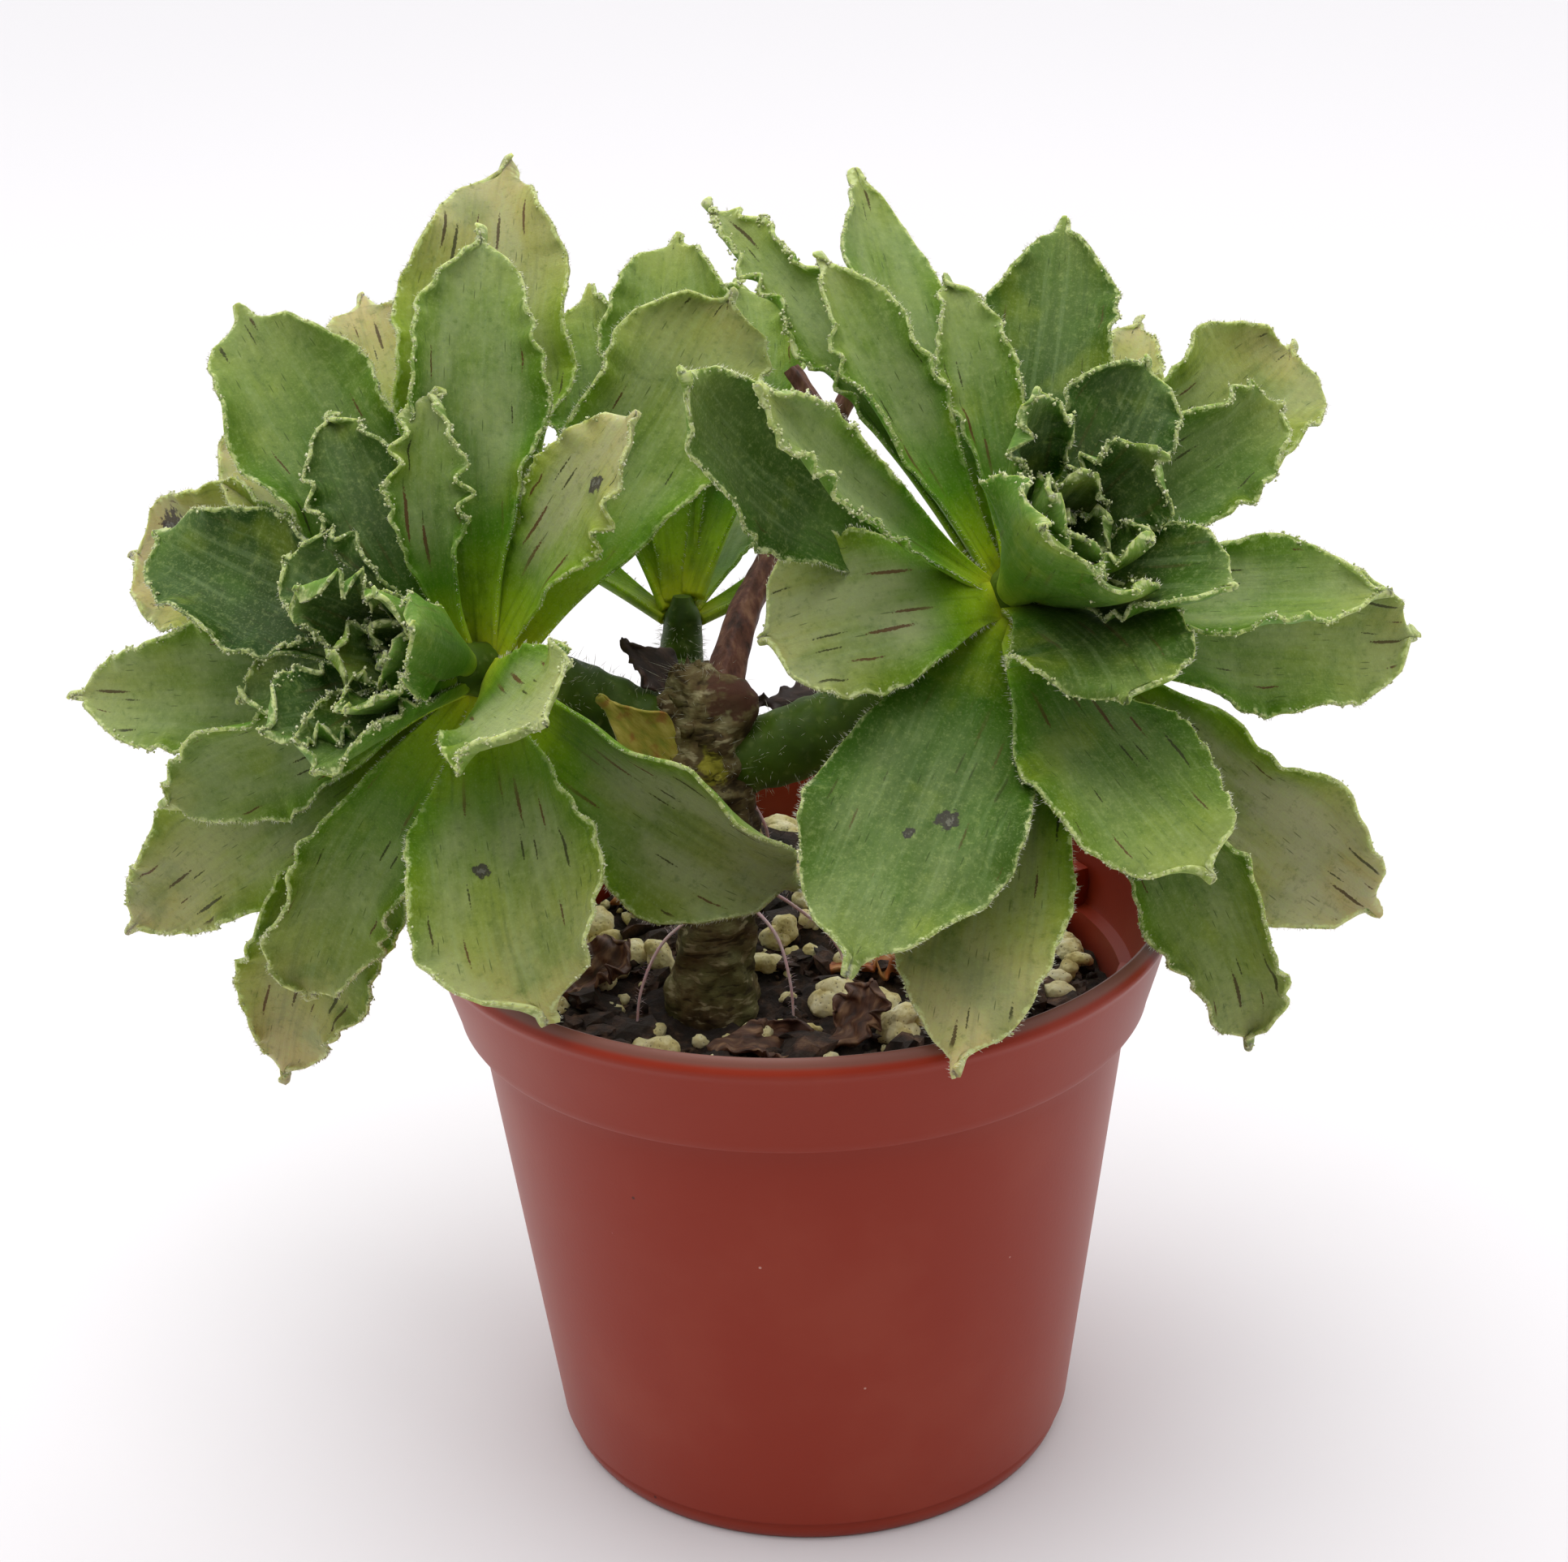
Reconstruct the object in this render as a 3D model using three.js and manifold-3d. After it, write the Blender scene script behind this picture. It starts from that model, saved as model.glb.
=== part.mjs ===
// A potted aeonium: a branched succulent with three leaf rosettes in a 10 cm plastic nursery pot.
// Millimetres, +Z up. The origin is the middle of the pot's underside, and -Y is the front.
import * as THREE from "three";
import { mergeVertices } from "three/addons/utils/BufferGeometryUtils.js";
import Module from "manifold-3d";

const wasm = await Module();
wasm.setup();
const { Manifold, Mesh } = wasm;

// ---- Driving dimensions ----
const GAP = 0.3; // air left between two pieces that rest on or in each other
const STEM_ROOM = GAP + 0.02; // cut from the pieces that meet a stem
const SOIL_ROOM = GAP + 0.1; // cut from the soil round the things that lie in it

const POT_HEIGHT = 80;
const POT_RIM_RADIUS = 50;
const POT_BASE_RADIUS = 35.9;
const POT_BODY_TOP_RADIUS = 44.2;
const POT_WALL = 1.2;
const POT_FLOOR = 2.2;
const BAND_BOTTOM = 65.6;
const BAND_BOTTOM_RADIUS = 46.7;
const POT_SIDES = 36;
const DRAIN_HOLE_RADIUS = 3.5;
const DRAIN_CIRCLE_RADIUS = 24;
const DRAIN_HOLES = 6;
const LUGS = 8;
const LUG_FIRST_ANGLE = 28; // degrees from +X
const LUG_SIZE = [2.6, 4.2, 6.2]; // radial, along the wall, up

const SOIL_LEVEL = 63.0;
const SOIL_MOUND = 6.5; // the soil is heaped toward the back of the pot
const STEM_HOLE_FLOOR = 46; // the stem stands this high above the table

const SIMPLEST = 0.13; // detail smaller than this is left out of the faceted solids
const EDGE_THICKNESS = 0.7; // of a leaf at its margin
const WAVE_SHARE = 0.05; // height of the margin's waves as a share of the leaf's width

// ---- Colours ----
const COLOURS = {
  pot: "#8f3427",
  soil: "#2e211a",
  pumice: "#cbbd8c",
  bark: "#6b5138",
  stalk: "#5c3527",
  leaf: "#6f9a4f",
  dryLeaf: "#6e4a30",
  dyingLeaf: "#b9973b",
  root: "#b98a93",
};

// A repeatable random number source.
function seeded(seed) {
  let state = seed;
  return () => {
    state = (state * 1664525 + 1013904223) % 4294967296;
    return state / 4294967296;
  };
}

const radians = (degrees) => (degrees * Math.PI) / 180;
const vector = (list) => new THREE.Vector3(list[0], list[1], list[2]);

function ease(from, to, x) {
  const t = Math.min(1, Math.max(0, (x - from) / (to - from)));
  return t * t * (3 - 2 * t);
}

// ---- From surfaces to solids and back ----
function solidOf(geometry) {
  const bare = geometry.clone();
  bare.deleteAttribute("normal");
  bare.deleteAttribute("uv");
  const merged = mergeVertices(bare, 1e-4);
  const mesh = new Mesh({
    numProp: 3,
    vertProperties: new Float32Array(merged.attributes.position.array),
    triVerts: new Uint32Array(merged.index.array),
  });
  return new Manifold(mesh);
}

// A cylinder that stands on z = 0.
function cylinder(radius, height, sides) {
  const geometry = new THREE.CylinderGeometry(radius, radius, height, sides);
  geometry.rotateX(Math.PI / 2);
  geometry.translate(0, 0, height / 2);
  return solidOf(geometry);
}

function solidFromLists(points, triangles) {
  const mesh = new Mesh({
    numProp: 3,
    vertProperties: new Float32Array(points.flat()),
    triVerts: new Uint32Array(triangles.flat()),
  });
  return new Manifold(mesh);
}

// Fuses solids and keeps the one main body: loose scraps and sealed hollows go.
function fuse(solids) {
  const pieces = Manifold.union(solids).decompose();
  pieces.sort((a, b) => b.volume() - a.volume());
  return pieces[0];
}

function cut(solid, tool) {
  const pieces = solid.subtract(tool).decompose();
  pieces.sort((a, b) => b.volume() - a.volume());
  return pieces[0];
}

const group = new THREE.Group();

function addNode(name, solid, colour, roughness = 0.6) {
  const mesh = solid.simplify(SIMPLEST).getMesh();
  const geometry = new THREE.BufferGeometry();
  const places = new Float32Array(mesh.vertProperties);
  geometry.setAttribute("position", new THREE.BufferAttribute(places, 3));
  geometry.setIndex(new THREE.BufferAttribute(new Uint32Array(mesh.triVerts), 1));
  geometry.computeVertexNormals();
  const material = new THREE.MeshStandardMaterial({ color: colour, roughness });
  const node = new THREE.Mesh(geometry, material);
  node.name = name;
  group.add(node);
}

// ---- A leaf blade ----
// It leaves `base` along `out` with its upper face toward `up`. `rise` tips it up from `out`,
// `curl` bends it along its length, `sway` bends it sideways, `roll` twists it about its own
// length and `cup` is half the angle of its channelled cross-section. Angles are in degrees.
function bladeWidth(u, blunt) {
  const widest = 0.56 + 0.12 * blunt;
  if (u < widest) {
    return 0.27 + 0.73 * Math.sin((Math.PI / 2) * (u / widest) ** 1.15) ** 1.6;
  }
  const q = (u - widest) / (1 - widest);
  return Math.max(0, 1 - q ** (1.55 + 0.6 * blunt)) ** (1.02 - 0.32 * blunt);
}

const BLADE_STEPS = 48;
const LONG_ROWS = [0, 9, 17, 23, 28, 33, 38, 42, 45, 48];
const SHORT_ROWS = [0, 10, 19, 27, 34, 40, 45, 48];
const YOUNG_ROWS = [0, 14, 25, 34, 42, 48];

function blade(base, out, up, shape, thicken = 0) {
  const side = up.clone().cross(out);
  const spine = [];
  const here = base.clone().addScaledVector(out, -thicken);
  const length = shape.length + 2 * thicken;
  for (let k = 0; k <= BLADE_STEPS; k += 1) {
    const u = k / BLADE_STEPS;
    const angle = radians(shape.rise) + radians(shape.curl) * u ** 1.3;
    const turn = radians(shape.sway) * u;
    const level = out.clone().multiplyScalar(Math.cos(turn));
    level.addScaledVector(side, Math.sin(turn));
    const along = level.clone().multiplyScalar(Math.cos(angle));
    along.addScaledVector(up, Math.sin(angle));
    const normal = level.clone().multiplyScalar(-Math.sin(angle));
    normal.addScaledVector(up, Math.cos(angle));
    const across = normal.clone().cross(along);
    const twist = radians(shape.roll) * Math.min(1, u / 0.5);
    const twistedAcross = across.clone().multiplyScalar(Math.cos(twist));
    twistedAcross.addScaledVector(normal, Math.sin(twist));
    const twistedNormal = normal.clone().multiplyScalar(Math.cos(twist));
    twistedNormal.addScaledVector(across, -Math.sin(twist));
    spine.push({ u, at: here.clone(), across: twistedAcross, normal: twistedNormal });
    here.addScaledVector(along, length / BLADE_STEPS);
  }
  let rows = shape.length > 45 ? LONG_ROWS : SHORT_ROWS;
  if (shape.length < 28) {
    rows = YOUNG_ROWS;
  }
  const columns = shape.width >= 17 ? 4 : 2;
  const arc = Math.max(radians(Math.abs(shape.cup)), 0.02);
  const waves = shape.length / 17;
  const top = [];
  const bottom = [];
  for (const k of rows) {
    const { u, at, across, normal } = spine[k];
    const ragged = 1 + 0.05 * ease(0.3, 0.6, u) * Math.sin(11 * u + shape.phase * 2);
    const outline = (shape.width / 2) * bladeWidth(u, shape.blunt) * ragged;
    const half = thicken + Math.max(0.5, outline);
    const body = shape.width * (0.135 - 0.075 * ease(0, 0.5, u));
    for (let j = 0; j <= columns; j += 1) {
      const v = (2 * j) / columns - 1;
      const swing = arc * v;
      const radius = half / arc;
      const hollow = Math.sign(shape.cup || 1);
      const local = normal.clone().multiplyScalar(Math.cos(swing));
      local.addScaledVector(across, -hollow * Math.sin(swing));
      const lift = radius * (1 - Math.cos(swing)) * hollow;
      const wave = shape.wave * ease(0.2, 0.5, u) * Math.abs(v) ** 2.5
        * Math.sin(2 * Math.PI * waves * u + shape.phase + v);
      const point = at.clone();
      point.addScaledVector(across, radius * Math.sin(swing));
      point.addScaledVector(normal, lift);
      point.addScaledVector(local, wave);
      const flesh = (Math.max(0.9, body) - EDGE_THICKNESS) * (1 - v * v);
      const thick = EDGE_THICKNESS + flesh + thicken * 2;
      top.push(point.clone().addScaledVector(local, thick / 2).toArray());
      bottom.push(point.clone().addScaledVector(local, -thick / 2).toArray());
    }
  }
  const triangles = [];
  const width = columns + 1;
  const under = top.length;
  for (let i = 0; i < rows.length - 1; i += 1) {
    for (let j = 0; j < columns; j += 1) {
      const a = i * width + j;
      const b = a + width;
      triangles.push([a, b, b + 1], [a, b + 1, a + 1]);
      const c = under + a;
      const d = under + b;
      triangles.push([c, d + 1, d], [c, c + 1, d + 1]);
    }
    const left = i * width;
    const right = left + columns;
    const underLeft = under + left;
    const underRight = under + right;
    triangles.push([left, underLeft, underLeft + width], [left, underLeft + width, left + width]);
    triangles.push([right, right + width, underRight + width], [right, underRight + width, underRight]);
  }
  const last = (rows.length - 1) * width;
  for (let j = 0; j < columns; j += 1) {
    triangles.push([j, j + 1, under + j + 1], [j, under + j + 1, under + j]);
    const e = last + j;
    triangles.push([e, under + e + 1, e + 1], [e, under + e, under + e + 1]);
  }
  return solidFromLists([...top, ...bottom], triangles);
}

// ---- A round stem along a path, with a radius at each point ----
function stem(path, radii, sides, bumps = 0, seed = 1) {
  const random = seeded(seed);
  const curve = new THREE.CatmullRomCurve3(path.map(vector), false, "centripetal");
  const steps = Math.max(path.length - 1, 1) * 2;
  const frames = curve.computeFrenetFrames(steps, false);
  const points = [];
  const triangles = [];
  for (let i = 0; i <= steps; i += 1) {
    const t = i / steps;
    const place = t * (radii.length - 1);
    const lower = Math.min(Math.floor(place), radii.length - 2);
    const mix = place - lower;
    const radius = radii[lower] * (1 - mix) + radii[lower + 1] * mix;
    const centre = curve.getPoint(t);
    for (let j = 0; j < sides; j += 1) {
      const angle = (2 * Math.PI * j) / sides;
      const r = radius * (1 + bumps * (random() - 0.5));
      const point = centre.clone();
      point.addScaledVector(frames.normals[i], r * Math.cos(angle));
      point.addScaledVector(frames.binormals[i], r * Math.sin(angle));
      points.push(point.toArray());
    }
  }
  for (let i = 0; i < steps; i += 1) {
    for (let j = 0; j < sides; j += 1) {
      const a = i * sides + j;
      const b = i * sides + ((j + 1) % sides);
      triangles.push([a, b, b + sides], [a, b + sides, a + sides]);
    }
  }
  const first = points.length;
  points.push(curve.getPoint(0).toArray(), curve.getPoint(1).toArray());
  const end = steps * sides;
  for (let j = 0; j < sides; j += 1) {
    const next = (j + 1) % sides;
    triangles.push([first, next, j], [first + 1, end + j, end + next]);
  }
  return solidFromLists(points, triangles);
}

// ---- Pot ----
function potRadius(z) {
  return POT_BASE_RADIUS + ((POT_BODY_TOP_RADIUS - POT_BASE_RADIUS) * z) / BAND_BOTTOM;
}

function makePot() {
  const inside = (z) => potRadius(z) - POT_WALL;
  const profile = [
    [0, 0],
    [potRadius(0) - 1.2, 0],
    [potRadius(0) - 0.5, 0.6],
    [potRadius(2.4) - 0.4, 2.4],
    [potRadius(3), 3],
    [potRadius(BAND_BOTTOM - 0.6), BAND_BOTTOM - 0.6],
    [BAND_BOTTOM_RADIUS - 0.4, BAND_BOTTOM],
    [BAND_BOTTOM_RADIUS, BAND_BOTTOM + 0.6],
    [POT_RIM_RADIUS - 0.4, POT_HEIGHT - 2.8],
    [POT_RIM_RADIUS, POT_HEIGHT - 2],
    [POT_RIM_RADIUS - 0.3, POT_HEIGHT - 1.2],
    [POT_RIM_RADIUS - 1.2, POT_HEIGHT],
    [POT_RIM_RADIUS - 1.8, POT_HEIGHT - 0.2],
    [BAND_BOTTOM_RADIUS - 1.5, BAND_BOTTOM + 1.6],
    [inside(BAND_BOTTOM) + 0.2, BAND_BOTTOM + 1],
    [inside(BAND_BOTTOM - 1), BAND_BOTTOM - 0.4],
    [inside(POT_FLOOR), POT_FLOOR],
    [0, POT_FLOOR],
  ];
  const corners = profile.map((p) => new THREE.Vector2(p[0], p[1]));
  const shell = solidOf(new THREE.LatheGeometry(corners, POT_SIDES));
  let pot = shell.rotate([90, 0, 0]);
  // Blocks on the inner ledge keep stacked pots from jamming.
  const lugs = [];
  for (let i = 0; i < LUGS; i += 1) {
    const at = [BAND_BOTTOM_RADIUS - 2.4, 0, BAND_BOTTOM + 3.6];
    const block = solidOf(new THREE.BoxGeometry(...LUG_SIZE)).translate(at);
    lugs.push(block.rotate([0, 0, LUG_FIRST_ANGLE + (360 / LUGS) * i]));
  }
  pot = fuse([pot, ...lugs]);
  const holes = [];
  for (let i = 0; i < DRAIN_HOLES; i += 1) {
    const hole = cylinder(DRAIN_HOLE_RADIUS, POT_FLOOR * 3, 10);
    const placed = hole.translate([DRAIN_CIRCLE_RADIUS, 0, -POT_FLOOR]);
    holes.push(placed.rotate([0, 0, (360 / DRAIN_HOLES) * i]));
  }
  return cut(pot, Manifold.union(holes));
}

// ---- Soil ----
function soilHeight(x, y) {
  const mound = SOIL_MOUND * Math.exp(-(((x + 2) / 26) ** 2) - ((y - 42) / 27) ** 2);
  const lumps = 0.5 * Math.sin(0.37 * x + 1.1) * Math.cos(0.31 * y + 0.4);
  const crumbs = 0.35 * Math.sin(0.83 * x - 0.6 * y);
  return SOIL_LEVEL + mound + lumps + crumbs;
}

function makeSoil() {
  const rings = 6;
  const sides = 26;
  const points = [[0, 0, soilHeight(0, 0)]];
  const triangles = [];
  for (let i = 1; i <= rings; i += 1) {
    for (let j = 0; j < sides; j += 1) {
      const angle = (2 * Math.PI * j) / sides;
      const edge = potRadius(SOIL_LEVEL - 1) - POT_WALL - GAP - 0.1;
      const x = ((edge * i) / rings) * Math.cos(angle);
      const y = ((edge * i) / rings) * Math.sin(angle);
      const surface = Math.min(soilHeight(x, y), SOIL_LEVEL + 6);
      points.push([x, y, i === rings ? SOIL_LEVEL - 1 : surface]);
    }
  }
  const bottomRadius = potRadius(POT_FLOOR) - POT_WALL - GAP - 0.1;
  const bottomStart = points.length;
  for (let j = 0; j < sides; j += 1) {
    const angle = (2 * Math.PI * j) / sides;
    const x = bottomRadius * Math.cos(angle);
    const y = bottomRadius * Math.sin(angle);
    points.push([x, y, POT_FLOOR + GAP]);
  }
  points.push([0, 0, POT_FLOOR + GAP]);
  const bottomCentre = points.length - 1;
  for (let j = 0; j < sides; j += 1) {
    const next = (j + 1) % sides;
    triangles.push([0, 1 + j, 1 + next]);
    for (let i = 0; i < rings - 1; i += 1) {
      const a = 1 + i * sides;
      const b = a + sides;
      triangles.push([a + j, b + j, b + next], [a + j, b + next, a + next]);
    }
    const rim = 1 + (rings - 1) * sides;
    const foot = bottomStart + j;
    const nextFoot = bottomStart + next;
    triangles.push([rim + j, foot, nextFoot], [rim + j, nextFoot, rim + next]);
    triangles.push([bottomCentre, nextFoot, foot]);
  }
  return solidFromLists(points, triangles);
}

// ---- Main stem: a short knobbly woody trunk, standing in a plain hole in the soil ----
const STEM_PATH = [
  [-12.5, -3.5, STEM_HOLE_FLOOR + GAP],
  [-12.2, -2.4, 63],
  [-11.9, -1.7, 71],
  [-10.9, -0.2, 81],
  [-10.8, 1.3, 90],
  [-12.2, 2.4, 97],
  [-12.1, 3.8, 104],
  [-11.4, 5.4, 108.5],
];
const STEM_RADII = [5.6, 6.4, 5.8, 4.9, 5.2, 6.6, 5.9, 4.2];

const STEM_TOP_ROOM = [-11.3, 5.6, 108.9];

// With `extra` it is the room that other pieces keep clear of the stem.
function makeStem(extra) {
  const radii = STEM_RADII.map((r) => r + extra);
  const path = extra > 0 ? [...STEM_PATH.slice(0, -1), STEM_TOP_ROOM] : STEM_PATH;
  return stem(path, radii, 12, 0.12, 7);
}

// ---- Rosettes ----
// Each leaf is one row:
// turn, rise, length, width, curl, sway, roll, cup, height on the stem tip, bluntness.
// turn is measured about the rosette's axis from its uphill side.
const LEFT = {
  centre: [-37, -2, 112],
  axis: [-0.6, -0.68, 0.43],
  branch: [[-14, 3, 100], [-21, 4.6, 102.5], [-28, 4.4, 106]],
  branchRadii: [4.4, 4.7, 4.8],
  coreRadius: 4.4,
  seed: 3,
};
const LEFT_LEAVES = [
  [18, 10, 72, 26, -35, 11, 35, 40, 1, 0.3],
  [6, 22, 56, 20, -38, 19, 50, 58, 4, 0.4],
  [54, 20, 60, 24, -10, -7, 40, 45, 3, 0.6],
  [71, 13, 63, 18, -20, -5, 25, 55, 0, 0.5],
  [45, 2, 69, 20, -20, 10, 45, 55, 0, 0.6],
  [80, 13, 71, 25, -20, 18, 0, 50, 0, 0.9],
  [111, 22, 68, 20, -25, -10, -5, 50, 2, 0.1],
  [125, 24, 50, 18, -25, 0, -45, 62, 4, 0.5],
  [133, 13, 76, 20, -30, -5, -35, 45, 1, 0.2],
  [157, 12, 56, 18, -45, -8, -50, 58, 3, 0.8],
  [149, 3, 80, 21, -40, -2, -45, 52, 0, 0.2],
  [219, 21, 48, 28, -25, 1, -28, 45, 3, 0.8],
  [243, -8, 47, 25, -52, 9, 20, 56, 1, 0.6],
  [260, 42, 39, 20, -15, 12, -30, 22, 5, 0.9],
  [334, 14, 38, 16, -20, 0, -5, 25, 4, 0.8],
  [345, -15, 59, 23, -15, 25, 40, 40, 1, 0.8],
  [87, 38, 49, 20, -40, -9, 20, 50, 6, 0.7],
  [41, 32, 37, 15, -40, 6, 35, 58, 8, 0.4],
  [10, 40, 34, 11, -52, 3, 35, 62, 8, 0.6],
  [66, 45, 24, 14, -30, 10, 10, 50, 10, 0.8],
  [185, 62, 26, 17, -10, 0, 0, 60, 8, 0.9],
  [110, 45, 29, 11, -42, 10, 0, 58, 8, 0.6],
];

const RIGHT = {
  centre: [26, -3, 119],
  axis: [0.44, -0.6, 0.67],
  branch: [[-10, 3, 97], [-3, 3, 98.5], [7, 2, 103], [16, 1, 109]],
  branchRadii: [4.8, 5, 5, 4.9],
  coreRadius: 4.6,
  seed: 5,
};
const RIGHT_LEAVES = [
  [13, 9, 67, 11, -35, -12, -25, 78, 2, 0.5],
  [20, 18, 48, 13, -22, -22, -20, 68, 4, 0.6],
  [3, 9, 63, 16, -20, -25, 8, 32, 3, 0.3],
  [355, 26, 40, 11, -32, -7, -22, 55, 6, 0.7],
  [328, 18, 55, 20, -20, -5, -28, 45, 3, 0.2],
  [300, 10, 58, 13, -28, 14, -18, 48, 1, 0.5],
  [286, 26, 59, 22, -34, 7, -5, 52, 3, 0.9],
  [279, 37, 43, 16, -33, 8, 10, 58, 6, 0.9],
  [239, 30, 46, 17, 5, 2, -8, 60, 3, 0.5],
  [245, 5, 65, 23, -10, 14, 32, 45, 1, 0.6],
  [165, 58, 31, 22, -36, -16, 24, 8, 5, 0.9],
  [84, 17, 34, 23, -64, -7, 4, 10, 4, 0.9],
  [54, 5, 59, 18, 45, 6, -20, 35, 1, 0.8],
  [61, 22, 51, 12, 16, -6, -5, 60, 4, 0.8],
  [129, 4, 57, 27, -12, 1, 32, 8, 3, 0.6],
  [151, -3, 62, 23, 4, -12, 36, 8, 1, 0.3],
  [165, 20, 46, 25, 0, 20, 6, 8, 3, 0.8],
  [206, 6, 64, 22, -20, 18, 52, 50, 0, 0.8],
  [186, 16, 70, 19, -72, 24, 60, 72, 0, 0.5],
  [311, 41, 31, 16, -28, 0, -5, 50, 8, 0.8],
  [100, 62, 32, 20, 0, 0, 10, 45, 7, 0.9],
  [212, 60, 28, 18, -5, -2, 0, 45, 7, 0.9],
];

const CENTRE = {
  centre: [-15, 20, 110],
  axis: [0.08, 0.09, 0.99],
  branch: [[-12.5, 7, 102], [-13.6, 13, 103.5]],
  branchRadii: [3.2, 3.2],
  coreRadius: 3.2,
  seed: 9,
};
const CENTRE_LEAVES = [
  [237, 66, 57, 20, -25, -20, -12, 58, 3, 0.8],
  [258, 53, 54, 18, -14, -26, -38, 66, 2, 0.5],
  [190, 62, 54, 18, -35, 45, 15, 72, 4, 0.6],
  [198, 23, 32, 11, -5, 20, -18, 36, 2, 0.5],
  [285, 24, 44, 14, -25, 0, 0, 50, 1, 0.6],
  [165, 18, 42, 14, -25, 0, 0, 50, 1, 0.6],
];

function rosetteFrame(place) {
  const axis = vector(place.axis).normalize();
  const uphill = new THREE.Vector3(0, 0, 1).addScaledVector(axis, -axis.z).normalize();
  const leftward = axis.clone().cross(uphill);
  return { centre: vector(place.centre), axis, uphill, leftward };
}

function leafFromRow(frame, row, index) {
  const [turn, rise, length, width, curl, sway, roll, cup, height, blunt] = row;
  const out = frame.uphill.clone().multiplyScalar(Math.cos(radians(turn)));
  out.addScaledVector(frame.leftward, Math.sin(radians(turn)));
  const base = frame.centre.clone().addScaledVector(frame.axis, height).addScaledVector(out, 2.5);
  const wave = WAVE_SHARE * width;
  const phase = 1.7 * index;
  const shape = { rise, length, width, curl, sway, roll, cup, blunt, wave, phase };
  return blade(base, out, frame.axis, shape);
}

// The young leaves that crowd the heart follow the plant's spiral.
function heartRows(count, firstTurn) {
  const rows = [];
  for (let k = 0; k < count; k += 1) {
    const length = 26 - 2.2 * k;
    const turn = firstTurn + 137.5 * k;
    const width = 15 - 1.1 * k;
    rows.push([turn, 50 + 4 * k, length, width, 22, 0, 0, 60, 9 + 0.6 * k, 0.9]);
  }
  return rows;
}

function onAxis(place, height) {
  const frame = rosetteFrame(place);
  return frame.centre.clone().addScaledVector(frame.axis, height).toArray();
}

// The green stem that carries a rosette, from inside the main stem to the rosette's tip.
function makeBranch(place, extra) {
  const path = [...place.branch, onAxis(place, -6), onAxis(place, 2)];
  const radii = [...place.branchRadii, place.coreRadius, place.coreRadius * 0.8].map((r) => r + extra);
  return stem(path, radii, 12, 0.04, place.seed);
}

function makeRosette(place, rows) {
  const frame = rosetteFrame(place);
  const r = place.coreRadius;
  const corePath = [-6, 2, 9, 15].map((h) => onAxis(place, h));
  const core = stem(corePath, [r, r, r * 0.8, 1.4], 10, 0, place.seed);
  const leaves = rows.map((row, index) => leafFromRow(frame, row, index + place.seed));
  return fuse([core, makeBranch(place, 0), ...leaves]);
}

// ---- Building the nodes ----
const trunk = makeStem(0);
const trunkRoom = makeStem(STEM_ROOM);

const leftRosette = cut(makeRosette(LEFT, [...LEFT_LEAVES, ...heartRows(5, 150)]), trunkRoom);
const rightRosette = cut(makeRosette(RIGHT, [...RIGHT_LEAVES, ...heartRows(5, 20)]), trunkRoom);
const centreRosette = cut(makeRosette(CENTRE, CENTRE_LEAVES), trunkRoom);

addNode("pot", makePot(), COLOURS.pot, 0.55);
addNode("main_stem", trunk, COLOURS.bark, 0.9);
addNode("left_rosette", leftRosette, COLOURS.leaf, 0.6);
addNode("right_rosette", rightRosette, COLOURS.leaf, 0.6);
addNode("centre_rosette", centreRosette, COLOURS.leaf, 0.6);

// ---- Dried flower stalk: one brown stalk that forks near its top ----
const STALK_PATH = [
  [-9.4, 3.6, 106],
  [-5.9, 9.8, 116.1],
  [-2.5, 14.1, 121.3],
  [3.4, 21, 132.6],
  [7.4, 24.3, 138],
];
const STUB_RIGHT = [[6.8, 23.9, 137], [10.3, 26.5, 143.2]];
const STUB_LEFT = [[6.2, 23.4, 136], [3.2, 26, 140.6], [1.1, 27.8, 143.7]];
const stalkMain = stem(STALK_PATH, [2.6, 2, 1.8, 1.7, 1.5], 7, 0.08, 11);
const stalkRight = stem(STUB_RIGHT, [1.3, 1.1], 6, 0.08, 12);
const stalkLeft = stem(STUB_LEFT, [1.3, 1.2, 1], 6, 0.08, 13);
const stalk = cut(fuse([stalkMain, stalkRight, stalkLeft]), trunkRoom);
addNode("flower_stalk", stalk, COLOURS.stalk, 0.85);

// ---- Dead and dying leaves ----
// Each grows from a place on the stem toward another, with its face turned to `facing`.
const DRY_LEAVES = {
  dry_leaf_left: {
    from: [-14.6, 5, 106],
    toward: [-22.4, 7.4, 112.6],
    facing: [0.5, -0.8, 0.4],
    length: 11,
    width: 7,
    curl: 10,
    roll: 0,
    cup: 30,
  },
  dying_leaf: {
    from: [-15, -1.6, 97],
    toward: [-24.6, -3.4, 108.5],
    facing: [0.2, -0.9, 0.3],
    length: 17,
    width: 9,
    curl: 15,
    roll: 10,
    cup: 25,
  },
  dry_leaf_right: {
    from: [5, 6.4, 103.8],
    toward: [-4, 7.6, 102.6],
    facing: [0, -0.5, 0.85],
    length: 10,
    width: 5.5,
    curl: 0,
    roll: 10,
    cup: -30,
  },
};
const branchRooms = [LEFT, RIGHT].map((place) => makeBranch(place, STEM_ROOM));
const stemsRoom = Manifold.union([trunkRoom, ...branchRooms]);
for (const [name, leaf] of Object.entries(DRY_LEAVES)) {
  const out = vector(leaf.toward).sub(vector(leaf.from)).normalize();
  const facing = vector(leaf.facing);
  const up = facing.addScaledVector(out, -facing.dot(out)).normalize();
  const shape = { rise: 0, sway: 0, blunt: 0.3, wave: 0.5, phase: leaf.length, ...leaf };
  const solid = cut(blade(vector(leaf.from), out, up, shape), stemsRoom);
  addNode(name, solid, name === "dying_leaf" ? COLOURS.dyingLeaf : COLOURS.dryLeaf, 0.85);
}

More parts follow.
